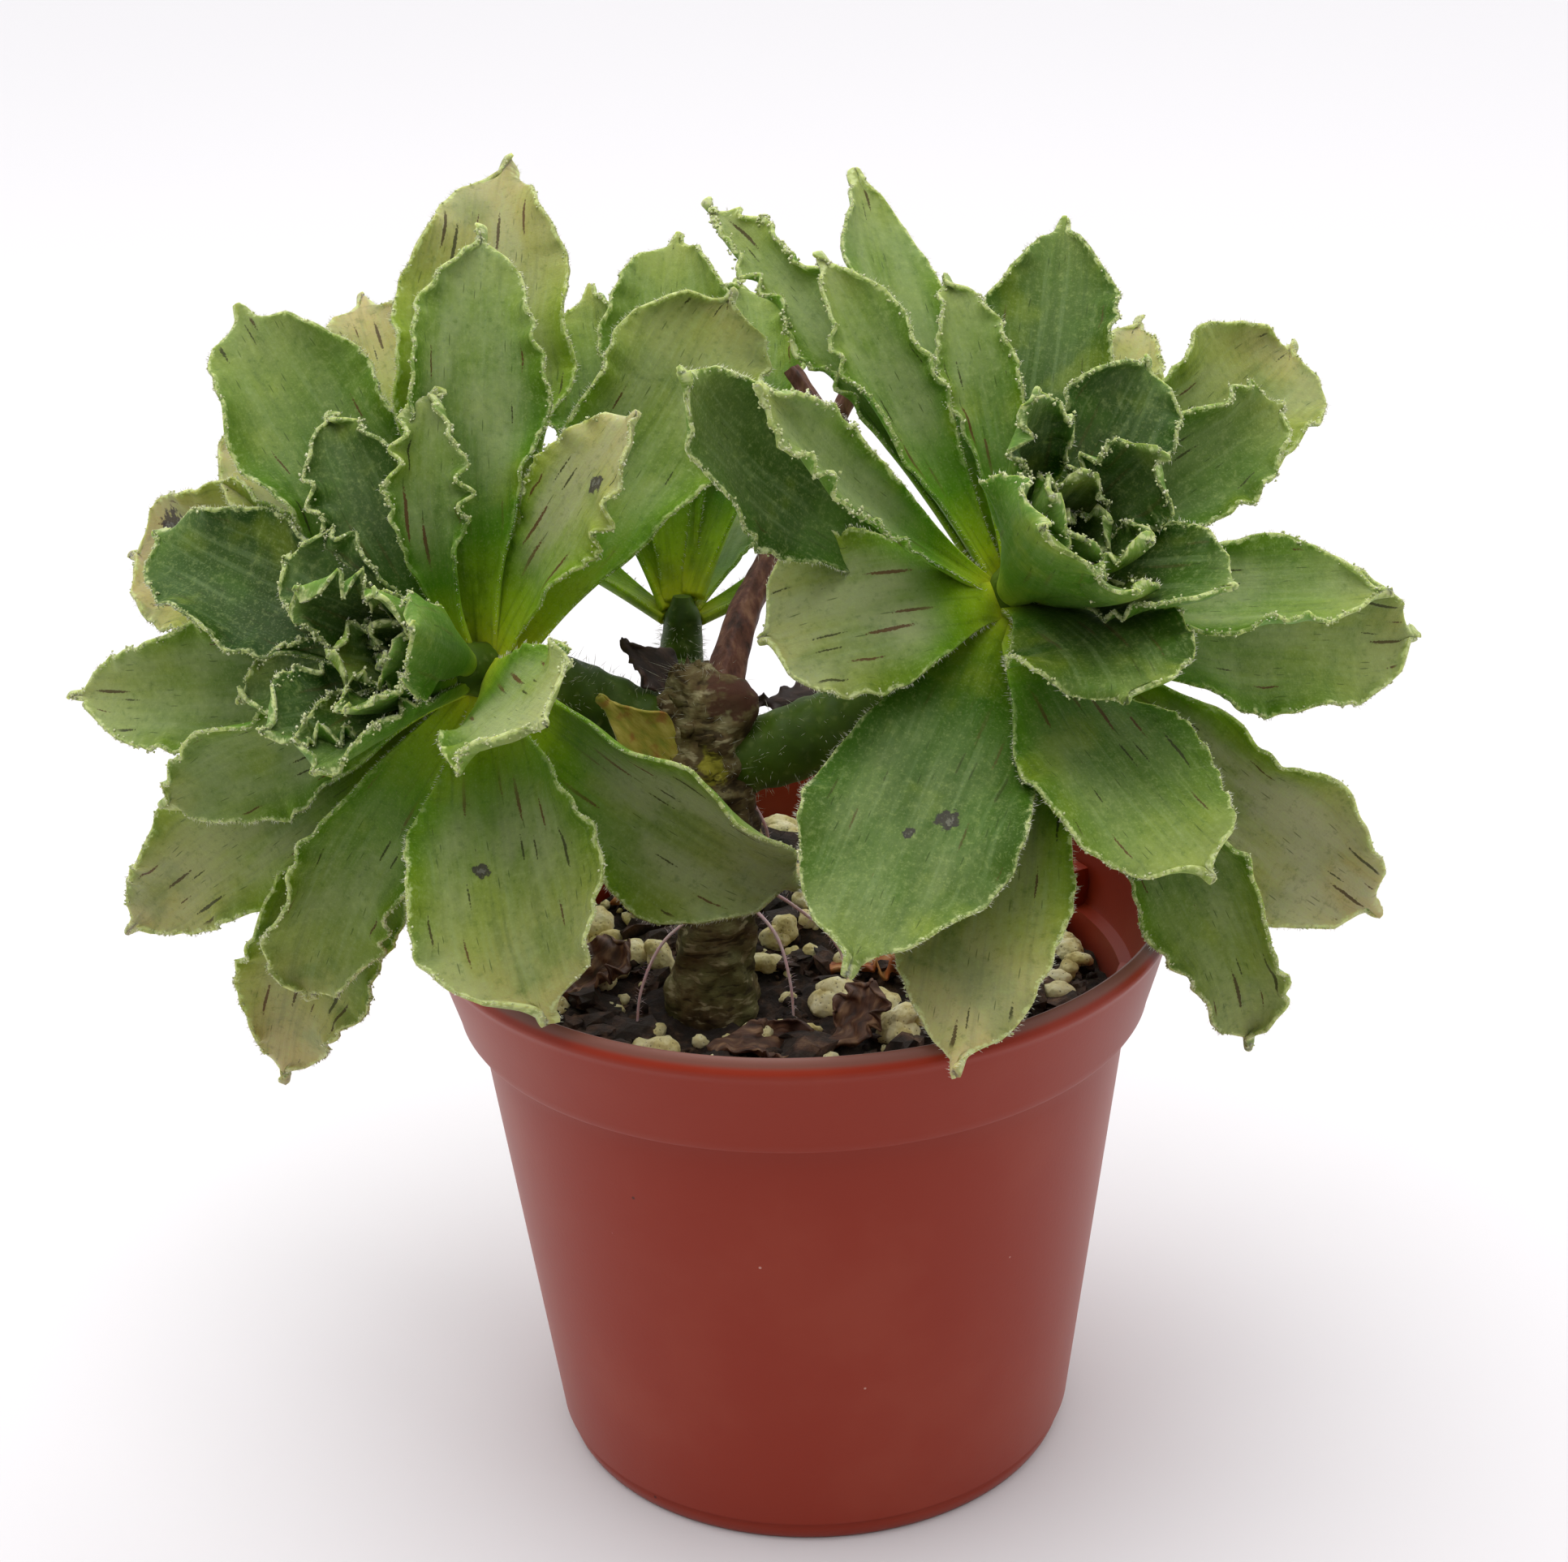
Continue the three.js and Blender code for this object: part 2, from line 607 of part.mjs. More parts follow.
// ---- Things lying on the soil: crumpled fallen leaves and pumice grains ----
const STEM_HOLE_RADIUS = 7.4;
const stemHole = cylinder(STEM_HOLE_RADIUS, 40, 20).translate([-12.4, -2.9, STEM_HOLE_FLOOR - 1]);
let soil = cut(makeSoil(), stemHole);

const PALE_ORANGE = "#b06a32";
const DEEP_ORANGE = "#a5552c";
// name, place on the soil, heading, length, width, curl, cup, colour
const FALLEN_LEAVES = [
  ["fallen_leaf_front", [-12.5, -16.5], 10, 15, 11, -60, 60, COLOURS.dryLeaf],
  ["fallen_leaf_right", [3, -16.5], 40, 12, 9, 70, 50, COLOURS.dryLeaf],
  ["fallen_leaf_left", [-33, 1], 20, 12, 10, 50, 50, COLOURS.dryLeaf],
  ["fallen_leaf_orange_left", [-27, 27], -20, 12, 9, -40, 45, PALE_ORANGE],
  ["fallen_leaf_orange_right", [4, 4], 15, 12, 9, -40, 45, DEEP_ORANGE],
];
for (const [name, [x, y], heading, length, width, curl, cup, tint] of FALLEN_LEAVES) {
  const out = new THREE.Vector3(Math.cos(radians(heading)), Math.sin(radians(heading)), 0);
  const base = new THREE.Vector3(x, y, soilHeight(x, y) + 0.9);
  const bend = { rise: 8, curl, sway: 0, roll: 12, cup };
  const shape = { ...bend, length, width, blunt: 0.5, wave: 0.8, phase: length };
  const up = new THREE.Vector3(0, 0, 1);
  const solid = blade(base, out, up, shape);
  soil = cut(soil, blade(base, out, up, shape, SOIL_ROOM));
  addNode(name, solid, tint, 0.9);
}

// centre x, centre y, radius
const PUMICE_GRAINS = [
  [-3, 41, 3.6], [3.5, 38.5, 3.2], [-5, 34.5, 2.6], [-1, 27.5, 2.8], [-27.5, 16, 2.9],
  [-23.6, 11, 3.1], [-32, 12, 2.4], [3.6, -3.6, 3.3], [10.4, -6.8, 3.8], [13, -13.6, 3.2],
  [-19, -17, 3.2], [-3.6, 12.5, 2.6], [33.2, 19, 3.1], [37.4, 10.6, 2.7], [34.5, -3.6, 2.7],
  [8, 18, 2.9], [-36, -10, 2.5], [22, 6, 3],
];
const grainRandom = seeded(21);
PUMICE_GRAINS.forEach(([x, y, radius], index) => {
  const form = new THREE.IcosahedronGeometry(radius, 0);
  form.deleteAttribute("normal");
  form.deleteAttribute("uv");
  const lump = mergeVertices(form, 1e-4);
  const corners = lump.attributes.position;
  for (let i = 0; i < corners.count; i += 1) {
    const k = 0.86 + 0.3 * grainRandom();
    const corner = [corners.getX(i) * 1.05, corners.getY(i) * 0.95, corners.getZ(i) * 0.82];
    corners.setXYZ(i, corner[0] * k, corner[1] * k, corner[2] * k);
  }
  const grain = solidOf(lump).rotate([10, 0, 50 * index]);
  const at = [x, y, soilHeight(x, y) + radius * 0.3];
  const room = grain.scale(1 + SOIL_ROOM / (radius * 0.62));
  soil = cut(soil, room.translate(at));
  const number = String(index + 1).padStart(2, "0");
  addNode(`pumice_grain_${number}`, grain.translate(at), COLOURS.pumice, 0.95);
});

// ---- Aerial roots: thin threads from the stem down to the soil ----
const ROOT_RADIUS = 0.42;
const AERIAL_ROOTS = [
  [[-13, -2, 78], [-18.6, -5.2, 74.5], [-21.6, -7.8, 69], [-22.6, -8.6, 62]],
  [[-8, 1.5, 95.5], [-4.4, 4, 87], [-5.5, 18, 75], [-6.4, 27, 66]],
  [[-9, -0.6, 80], [-3.6, -4.2, 75], [-1.8, -6.2, 69], [-1.4, -6.8, 62]],
  [[-9, 0.4, 82], [-1, 2.2, 76], [4.8, 1.6, 70], [6.8, 0.2, 62]],
];
const soilRoom = soil.translate([0, 0, GAP]);
AERIAL_ROOTS.forEach((path, index) => {
  const thread = stem(path, path.map(() => ROOT_RADIUS), 6, 0, 1);
  const free = cut(cut(thread, trunkRoom), soilRoom);
  addNode(`aerial_root_${index + 1}`, free, COLOURS.root, 0.7);
});

addNode("potting_soil", soil, COLOURS.soil, 1);

export default group;
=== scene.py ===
# A potted aeonium: three rosettes of waved, fringed leaves on a short woody stem, in a 10 cm
# nursery pot. Metres, +Z up, the pot's front toward -Y. Sizes are written in millimetres times MM.
import math

import bpy
import numpy as np
from mathutils import Matrix, Vector, noise


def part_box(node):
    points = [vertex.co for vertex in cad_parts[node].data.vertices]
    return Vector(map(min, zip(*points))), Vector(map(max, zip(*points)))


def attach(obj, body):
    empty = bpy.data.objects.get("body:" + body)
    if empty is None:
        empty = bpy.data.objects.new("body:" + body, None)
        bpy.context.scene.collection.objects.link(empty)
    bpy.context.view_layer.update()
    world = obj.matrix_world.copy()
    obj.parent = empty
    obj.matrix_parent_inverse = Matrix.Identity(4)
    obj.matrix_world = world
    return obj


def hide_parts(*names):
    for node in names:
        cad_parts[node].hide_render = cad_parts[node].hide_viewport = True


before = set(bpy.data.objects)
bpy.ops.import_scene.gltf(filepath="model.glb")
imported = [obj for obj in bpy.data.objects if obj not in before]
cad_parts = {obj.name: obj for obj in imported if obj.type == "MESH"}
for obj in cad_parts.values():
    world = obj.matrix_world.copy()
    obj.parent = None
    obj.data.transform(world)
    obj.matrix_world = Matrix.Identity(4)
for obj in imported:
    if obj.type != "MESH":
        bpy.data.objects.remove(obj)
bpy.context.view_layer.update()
bpy.ops.object.select_all(action="DESELECT")

# ---- Pot ----
# A nursery pot, injection moulded in brick-red polypropylene with one wall all round. The rim is
# a wider band that stiffens it, and blocks on the ledge inside keep stacked pots apart.
MM = 0.001
FOOT_RADIUS = 35.9
BAND_FOOT_RADIUS, BAND_FOOT_HEIGHT = 44.2, 65.6
WALL = 1.2
DRAIN_HOLES, DRAIN_RADIUS, DRAIN_RING = 6, 3.5, 24
LUGS, FIRST_LUG_TURN, LUG_RING, LUG_HEIGHT = 8, 28, 44.3, 69.2


def wall_radius(z):
    """Outer radius of the pot's tapering wall at a height, in millimetres."""
    return FOOT_RADIUS + (BAND_FOOT_RADIUS - FOOT_RADIUS) * z / BAND_FOOT_HEIGHT


# Radius and height of each ring of the wall: up the outside, over the lip and down the inside.
POT_RINGS = [
    (wall_radius(0) - 0.8, 0.2), (wall_radius(0) - 0.45, 0.8), (wall_radius(2.3) - 0.35, 2.2),
    (wall_radius(2.6) - 0.5, 2.6), (wall_radius(3) - 0.45, 2.9), (wall_radius(3.3), 3.2),
    (wall_radius(4), 4), (wall_radius(20), 20), (wall_radius(42), 42), (wall_radius(62), 62),
    (wall_radius(64.6), 64.6), (wall_radius(65.1) + 0.1, 65.1), (45.6, 65.4), (46.3, 65.7),
    (46.6, 66.2), (46.75, 67), (48.2, 72), (49.45, 76.6), (49.6, 77.1), (49.85, 77.5),
    (49.98, 77.9), (49.9, 78.4), (49.6, 78.8), (49.4, 79.3), (49.1, 79.8), (48.7, 80),
    (48.35, 79.85), (48.1, 79.4), (46.6, 73), (45.3, 67.6), (44.9, 66.9), (44.2, 66.7),
    (wall_radius(65.6) - WALL + 0.2, 66.5), (wall_radius(64.6) - WALL, 65.2),
    (wall_radius(30) - WALL, 30), (wall_radius(3) - WALL, 3), (wall_radius(2.2) - WALL - 1, 2.2),
]


def named(name):
    """The object that an operator has just made, under its own name."""
    made = bpy.context.active_object
    made.name = name
    made.data.name = name
    return made


bpy.ops.mesh.primitive_circle_add(
    vertices=192, radius=(FOOT_RADIUS - 1.2) * MM, fill_type="NGON", location=(0, 0, 0)
)
pot = named("moulded_pot")
bpy.ops.object.mode_set(mode="EDIT")
bpy.ops.mesh.select_all(action="SELECT")
bpy.ops.mesh.flip_normals()
last_radius, last_height = FOOT_RADIUS - 1.2, 0.0
for ring_radius, ring_height in POT_RINGS:
    grow = ring_radius / last_radius
    bpy.ops.mesh.extrude_region_move(
        TRANSFORM_OT_translate={"value": (0, 0, (ring_height - last_height) * MM)}
    )
    bpy.ops.transform.resize(value=(grow, grow, 1), center_override=(0, 0, ring_height * MM))
    last_radius, last_height = ring_radius, ring_height
# The circle's own face went up with the wall and is now the floor inside; this closes the outside.
bpy.ops.mesh.select_all(action="DESELECT")
bpy.ops.mesh.select_non_manifold()
bpy.ops.mesh.edge_face_add()
bpy.ops.mesh.select_all(action="SELECT")
bpy.ops.mesh.normals_make_consistent(inside=False)
bpy.ops.object.mode_set(mode="OBJECT")


def cut_away(piece, tool):
    """Cuts a tool's shape out of a piece and removes the tool."""
    cutter = piece.modifiers.new("cut", "BOOLEAN")
    cutter.operation, cutter.solver, cutter.object = "DIFFERENCE", "EXACT", tool
    bpy.context.view_layer.objects.active = piece
    bpy.ops.object.modifier_apply(modifier=cutter.name)
    bpy.data.objects.remove(tool, do_unlink=True)


for i in range(DRAIN_HOLES):
    a = math.radians(360 / DRAIN_HOLES * i)
    bpy.ops.mesh.primitive_cylinder_add(
        vertices=32, radius=DRAIN_RADIUS * MM, depth=8 * MM,
        location=(DRAIN_RING * MM * math.cos(a), DRAIN_RING * MM * math.sin(a), 0),
    )
    cut_away(pot, named("drain_hole"))

bpy.ops.object.select_all(action="DESELECT")
for i in range(LUGS):
    a = math.radians(FIRST_LUG_TURN + 360 / LUGS * i)
    bpy.ops.mesh.primitive_cube_add(
        size=1, scale=(2.6 * MM, 4.2 * MM, 6.2 * MM), rotation=(0, 0, a),
        location=(LUG_RING * MM * math.cos(a), LUG_RING * MM * math.sin(a), LUG_HEIGHT * MM),
    )
    lug = named("stacking_lug")
    soften = lug.modifiers.new("soften", "BEVEL")
    soften.width, soften.segments = 0.35 * MM, 2
    bpy.ops.object.modifier_apply(modifier="soften")
    lug.select_set(True)
    pot.select_set(True)
    bpy.context.view_layer.objects.active = pot
    bpy.ops.object.join()
bpy.ops.object.select_all(action="DESELECT")
pot.select_set(True)
bpy.ops.object.transform_apply(location=True, rotation=True, scale=True)
bpy.ops.object.shade_smooth_by_angle(angle=math.radians(35))


def linear(code):
    """An sRGB hex colour as Blender's linear red, green, blue, alpha."""
    parts = [int(code[i:i + 2], 16) / 255 for i in (1, 3, 5)]
    parts = [c / 12.92 if c <= 0.04045 else ((c + 0.055) / 1.055) ** 2.4 for c in parts]
    return (*parts, 1.0)


def blank_material(name):
    made = bpy.data.materials.new(name)
    made.use_nodes = True
    made.node_tree.nodes.clear()
    return made


def node(material, kind, inputs=(), out=0, stops=(), **settings):
    """Adds a shader node with its settings and links, and gives back one of its outputs.

    inputs are the values of its sockets, in order, or by name or number. Each is a number, a hex
    colour or another node's output. stops are a colour ramp's (place, hex colour) pairs.
    """
    made = material.node_tree.nodes.new("ShaderNode" + kind)
    for option, value in settings.items():
        setattr(made, option, value)
    for socket, value in inputs.items() if isinstance(inputs, dict) else enumerate(inputs):
        if isinstance(value, bpy.types.NodeSocket):
            material.node_tree.links.new(value, made.inputs[socket])
        else:
            made.inputs[socket].default_value = linear(value) if isinstance(value, str) else value
    if stops:
        band = made.color_ramp.elements
        band[0].position, band[0].color = stops[0][0], linear(stops[0][1])
        band[1].position, band[1].color = stops[-1][0], linear(stops[-1][1])
        for place, code in stops[1:-1]:
            band.new(place).color = linear(code)
    return made.outputs[out] if made.outputs else made


def coverage(material, *limits):
    """How far a stain covers each spot: the product of its limits.

    A limit is an amount, or (pattern, start, end), or (pattern, start, end, low, high): a smooth
    step from 0 to 1, or from low to high, as the pattern goes from start to end.
    """
    covered = None
    for limit in limits:
        if isinstance(limit, tuple):
            limit = node(material, "MapRange", limit, interpolation_type="SMOOTHSTEP")
        if covered is not None:
            limit = node(material, "Math", [covered, limit], operation="MULTIPLY")
        covered = limit
    return covered


def stain(material, colour, hue, *limits):
    """Turns a colour toward a hue, as far as the limits let it."""
    covered = coverage(material, *limits)
    return node(material, "Mix", {0: covered, 6: colour, 7: hue}, 2, data_type="RGBA")


def finish_surface(material, colour, bump=None, **sockets):
    """Ends a material with its colour, its bump if it has one, and other sockets of its shader."""
    inputs = {"Base Color": colour}
    for name, value in sockets.items():
        inputs[name.replace("_", " ").title().replace("Ior", "IOR")] = value
    if bump is not None:
        inputs["Normal"] = bump
    node(material, "OutputMaterial", {"Surface": node(material, "BsdfPrincipled", inputs)})


# Polypropylene with a fine sparked mould texture: matt, a little paler where hands and dust have
# scuffed it, with stray pale and dark specks. The top of the lip is a paler, greyer brown.
pot_plastic = blank_material("pot_polypropylene")
here = node(pot_plastic, "TexCoord", out="Object")
height = node(pot_plastic, "SeparateXYZ", [here], "Z")
scuffs = node(pot_plastic, "TexNoise", {
    "Vector": here, "Scale": 1 / (26 * MM), "Detail": 4, "Roughness": 0.55,
})
plastic = stain(pot_plastic, "#8a260b", "#a5533c", (scuffs, 0.42, 0.7, 0, 0.16))
specks = node(pot_plastic, "TexVoronoi", {"Vector": here, "Scale": 1 / (3.2 * MM)}, "Distance")
chosen = node(pot_plastic, "SeparateColor", [specks.node.outputs["Color"]])
plastic = stain(pot_plastic, plastic, "#d3a79a", (specks, 0.075, 0.045), (chosen, 0.86, 0.9), 0.65)
plastic = stain(pot_plastic, plastic, "#3a130e", (specks, 0.09, 0.06), (chosen, 0.05, 0.03), 0.8)
plastic = stain(pot_plastic, plastic, "#6f5045", (height, 78.6 * MM, 79.3 * MM), 0.75)
spark = node(pot_plastic, "TexNoise", {
    "Vector": here, "Scale": 1 / (0.5 * MM), "Detail": 2, "Roughness": 0.55,
})
sparked = node(pot_plastic, "Bump", {"Height": spark, "Strength": 0.12, "Distance": 0.1 * MM})
finish_surface(pot_plastic, plastic, sparked, roughness=0.42, ior=1.49, specular_ior_level=0.27,
               sheen_weight=0.09, sheen_roughness=0.4, sheen_tint="#ffe9e2")
pot.data.materials.append(pot_plastic)
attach(pot, "root")
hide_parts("pot")

# ---- Soil ----
# Dark peat that fills the pot to a finger's width under the rim, heaped toward the back. Bark
# chips, crumbs of peat and small pumice lie loose in its surface.
SOIL_LEVEL = 63.0
SOIL_EDGE = wall_radius(62) - WALL - 0.35
STEM_FOOT, STEM_CLEARANCE = (-12.3, -2.6), 8.6


def soil_height(x, y):
    """Height of the soil's surface in millimetres."""
    mound = 6.5 * math.exp(-(((x + 2) / 26) ** 2) - ((y - 42) / 27) ** 2)
    lumps = 0.5 * math.sin(0.37 * x + 1.1) * math.cos(0.31 * y + 0.4)
    return min(SOIL_LEVEL + mound + lumps + 0.35 * math.sin(0.83 * x - 0.6 * y), SOIL_LEVEL + 6)


def places_of(mesh):
    """A mesh's vertices as an array, one row each."""
    flat = np.empty(len(mesh.vertices) * 3)
    mesh.vertices.foreach_get("co", flat)
    return flat.reshape(-1, 3)


def move_to(mesh, places):
    mesh.vertices.foreach_set("co", np.asarray(places, float).ravel())
    mesh.update()


bpy.ops.mesh.primitive_grid_add(x_subdivisions=150, y_subdivisions=150, size=2)
soil = named("peat_surface")
rolled = []
for x, y, _ in places_of(soil.data):
    # A square sheet drawn into a disc, ring by ring.
    side = max(abs(x), abs(y))
    reach = side * SOIL_EDGE / max(math.hypot(x, y), 1e-9)
    px, py = x * reach, y * reach
    rough = 0.9 * noise.fractal(Vector((px, py, 0)) * 0.35, 1.0, 2.0, 4)
    edge = max(0.0, (side - 0.93) / 0.07)
    rolled.append((px, py, soil_height(px, py) + rough - 0.9 * edge * edge))
move_to(soil.data, np.array(rolled) * MM)
bpy.ops.object.mode_set(mode="EDIT")
bpy.ops.mesh.select_all(action="DESELECT")
bpy.ops.mesh.select_non_manifold()
bpy.ops.mesh.extrude_edges_move(TRANSFORM_OT_translate={"value": (0, 0, -56 * MM)})
bpy.ops.transform.resize(value=(0.83, 0.83, 0), center_override=(0, 0, 3 * MM))
bpy.ops.mesh.edge_face_add()
bpy.ops.mesh.select_all(action="SELECT")
bpy.ops.mesh.normals_make_consistent(inside=False)
bpy.ops.object.mode_set(mode="OBJECT")
bpy.ops.object.shade_smooth_by_angle(angle=math.radians(50))

# Damp peat: nearly black, fibrous and quite without gloss.
peat = blank_material("damp_peat")
here = node(peat, "TexCoord", out="Object")
fibre = node(peat, "TexNoise", {
    "Vector": here, "Scale": 1 / (2.5 * MM), "Detail": 5, "Roughness": 0.7,
})
dirt = node(peat, "ValToRGB", [fibre], stops=[
    (0.3, "#170f0b"), (0.5, "#2c1e16"), (0.62, "#4a3426"), (0.75, "#6f5640"),
])
crumb = node(peat, "TexNoise", {
    "Vector": here, "Scale": 1 / (0.8 * MM), "Detail": 5, "Roughness": 0.7,
})
crumbly = node(peat, "Bump", {"Height": crumb, "Strength": 0.9, "Distance": 0.6 * MM})
finish_surface(peat, dirt, crumbly, roughness=0.95)
soil.data.materials.append(peat)
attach(soil, "root")
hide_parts("potting_soil")

draw = np.random.default_rng(11)


def mesh_piece(name, places, faces, material, smooth=True, body="root"):
    """A piece from arrays of places in metres and of faces."""
    mesh = bpy.data.meshes.new(name)
    mesh.from_pydata(np.asarray(places).tolist(), [], np.asarray(faces).tolist())
    mesh.materials.append(material)
    mesh.polygons.foreach_set("use_smooth", [smooth] * len(mesh.polygons))
    piece = bpy.data.objects.new(name, mesh)
    bpy.context.scene.collection.objects.link(piece)
    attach(piece, body)
    return piece


def lump_form(level, jitter, seed):
    """A small broken lump about 1 across: a ball with its points pushed in and out."""
    bpy.ops.mesh.primitive_ico_sphere_add(subdivisions=level, radius=0.5)
    lump = named("lump_form")
    places = places_of(lump.data)
    pushed = [
        p * (1 + jitter * noise.noise(Vector(p) * 3.1 + Vector((seed, 0, 0)))
             + 0.5 * jitter * noise.noise(Vector(p) * 7.3 + Vector((0, seed, 0))))
        for p in places
    ]
    faces = np.array([list(f.vertices) for f in lump.data.polygons])
    bpy.data.objects.remove(lump, do_unlink=True)
    return np.array(pushed), faces


def turned(euler):
    return np.array(Matrix.Rotation(euler[2], 3, "Z") @ Matrix.Rotation(euler[1], 3, "Y")
                    @ Matrix.Rotation(euler[0], 3, "X"))


def scatter(name, forms, spots, material, smooth=True):
    """Copies of small forms at (place, size by axis, turn) spots, all in one mesh."""
    all_places, all_faces, count = [], [], 0
    for number, (place, size, turn) in enumerate(spots):
        places, faces = forms[number % len(forms)]
        all_places.append((places * size) @ turned(turn).T + place)
        all_faces.append(faces + count)
        count += len(places)
    return mesh_piece(name, np.concatenate(all_places) * MM, np.concatenate(all_faces),
                      material, smooth)


def soil_spots(number, sizes, flat, lift):
    """Random spots over the soil, clear of the stem: sizes are the least and most size in mm."""
    spots = []
    while len(spots) < number:
        away = SOIL_EDGE * math.sqrt(draw.random())
        turn = 2 * math.pi * draw.random()
        x, y = away * math.cos(turn), away * math.sin(turn)
        size = sizes[0] + (sizes[1] - sizes[0]) * draw.random() ** 2
        from_stem = math.hypot(x - STEM_FOOT[0], y - STEM_FOOT[1])
        if away > SOIL_EDGE - 0.45 * size or from_stem < STEM_CLEARANCE + size * 0.4:
            continue
        shape = size * np.array([1, 0.6 + 0.35 * draw.random(), flat * (0.7 + 0.6 * draw.random())])
        tilt = (draw.normal(0, 0.35), draw.normal(0, 0.35), 2 * math.pi * draw.random())
        spots.append((np.array([x, y, soil_height(x, y) + lift * shape[2]]), shape, tilt))
    return spots


chip_forms = [lump_form(2, 0.75, s) for s in (3, 8, 15, 22)]
# Composted bark: flat dark splinters, matt, some with a reddish-brown broken face.
bark_chip = blank_material("composted_bark")
here = node(bark_chip, "TexCoord", out="Object")
flake = node(bark_chip, "TexNoise", {
    "Vector": here, "Scale": 1 / (5 * MM), "Detail": 4, "Roughness": 0.7,
})
chip_colour = node(bark_chip, "ValToRGB", [flake], stops=[
    (0.3, "#1b120d"), (0.48, "#33231a"), (0.6, "#54392a"), (0.72, "#7a5a43"),
])
splinter = node(bark_chip, "TexNoise", {
    "Vector": here, "Scale": 1 / (0.7 * MM), "Detail": 4, "Roughness": 0.7,
})
split = node(bark_chip, "Bump", {"Height": splinter, "Strength": 0.8, "Distance": 0.4 * MM})
finish_surface(bark_chip, chip_colour, split, roughness=0.8)
scatter("bark_chips", chip_forms, soil_spots(230, (3, 8.5), 0.32, 0.3), bark_chip, False)
scatter("peat_crumbs", [lump_form(1, 0.8, s) for s in (1, 5, 9)],
        soil_spots(900, (0.7, 2.2), 0.8, 0.35), peat)

# ---- Pumice ----
# Grains of cream pumice mixed into the soil. They are full of pores, with rounded corners, and
# yellowish or brown where peat has stained them.
pumice = blank_material("pumice")
here = node(pumice, "TexCoord", out="Object")
cloud = node(pumice, "TexNoise", {
    "Vector": here, "Scale": 1 / (3.2 * MM), "Detail": 4, "Roughness": 0.65,
})
stone = node(pumice, "ValToRGB", [cloud], stops=[
    (0.28, "#b39d5f"), (0.42, "#dccb8c"), (0.55, "#efe3b0"), (0.75, "#faf4d8"),
])
pores = node(pumice, "TexVoronoi", {"Vector": here, "Scale": 1 / (0.7 * MM)}, "Distance")
stone = stain(pumice, stone, "#6b5334", (pores, 0.24, 0.08, 0, 0.75))
pitted = node(pumice, "Bump", {"Height": pores, "Strength": 0.6, "Distance": 0.25 * MM})
finish_surface(pumice, stone, pitted, roughness=0.95)

for number in range(1, 19):
    cad_name = f"pumice_grain_{number:02d}"
    low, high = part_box(cad_name)
    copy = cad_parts[cad_name].data.copy()
    large = bpy.data.objects.new(f"pumice_{number:02d}", copy)
    copy.name = large.name
    bpy.context.scene.collection.objects.link(large)
    bpy.context.view_layer.objects.active = large
    bpy.ops.object.mode_set(mode="EDIT")
    bpy.ops.mesh.select_all(action="SELECT")
    bpy.ops.mesh.remove_doubles(threshold=0.02 * MM)
    bpy.ops.mesh.subdivide(number_cuts=3)
    bpy.ops.mesh.vertices_smooth(factor=0.5, repeat=3)
    bpy.ops.mesh.subdivide(number_cuts=1, smoothness=0.4)
    bpy.ops.object.mode_set(mode="OBJECT")
    middle = (low + high) / 2
    swollen = []
    for p in places_of(copy):
        out = Vector(p) - middle
        push = 1.06 + 0.16 * noise.noise(out * 420 + Vector((number, 0, 0)))
        push += 0.09 * noise.noise(out * 1100 + Vector((0, number, 0)))
        swollen.append(middle + out * push)
    move_to(copy, swollen)
    copy.polygons.foreach_set("use_smooth", [True] * len(copy.polygons))
    copy.materials.clear()
    copy.materials.append(pumice)
    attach(large, "root")
    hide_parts(cad_name)

LOBES, LOBE_REACH = 9, 0.26


def clustered_form(level, seed):
    """A grain about 1 across whose outline is a handful of rounded lobes grown together."""
    pick = np.random.default_rng(seed)
    lobes = [(pick.normal(0, 1, 3), 0.24 + 0.1 * pick.random()) for _ in range(LOBES)]
    lobes = [(centre / np.linalg.norm(centre) * LOBE_REACH, radius) for centre, radius in lobes]
    places, faces = lump_form(level, 0.12, seed)
    grown = []
    for p in places:
        way = p / np.linalg.norm(p)
        reach = 0.27
        for centre, radius in lobes:
            along = float(np.dot(way, centre))
            gap = radius ** 2 - (LOBE_REACH ** 2 - along ** 2)
            if gap > 0 and along > 0:
                reach = max(reach, along + math.sqrt(gap))
        grown.append(way * reach * (np.linalg.norm(p) / 0.5))
    return np.array(grown), faces


# Where the grains lie in clusters: place on the soil and size, in millimetres.
CLUSTERS = [
    (-29.1, 18.4, 5.4), (-31.3, 15.3, 3.4), (-27.6, 10, 4.6), (-30.2, 9.2, 3), (-25.7, 6.3, 3.6),
    (-19.9, 8.9, 5), (-32.6, 8.4, 2.8), (-21.6, -14.6, 2.8), (-2.4, 44.5, 4.6), (0.3, 37.9, 4.8),
    (-3.4, 33.6, 3.4), (0.2, 31.2, 3.8), (2.5, 40.7, 3.4), (0.5, 21.2, 3.8), (-2.5, 13.9, 4.8),
    (-5.2, 6.1, 4.2), (1, 16.6, 3.4), (-1.4, 10, 2.8), (4.4, -3.5, 5.6), (6.3, -9.4, 3.8),
    (12.7, -12.5, 6), (16, -11.5, 4.4), (-2.2, -1.5, 2.2), (38.5, 18.5, 3.8), (37.6, 12.3, 3.6),
    (38.4, 6.2, 3.4), (35, 0.2, 3.6), (36, 15, 2.8), (36.6, 3.6, 2.8), (9.1, -20, 2),
    (-5.1, -12.4, 2.2),
]
draw = np.random.default_rng(17)
cluster_spots = []
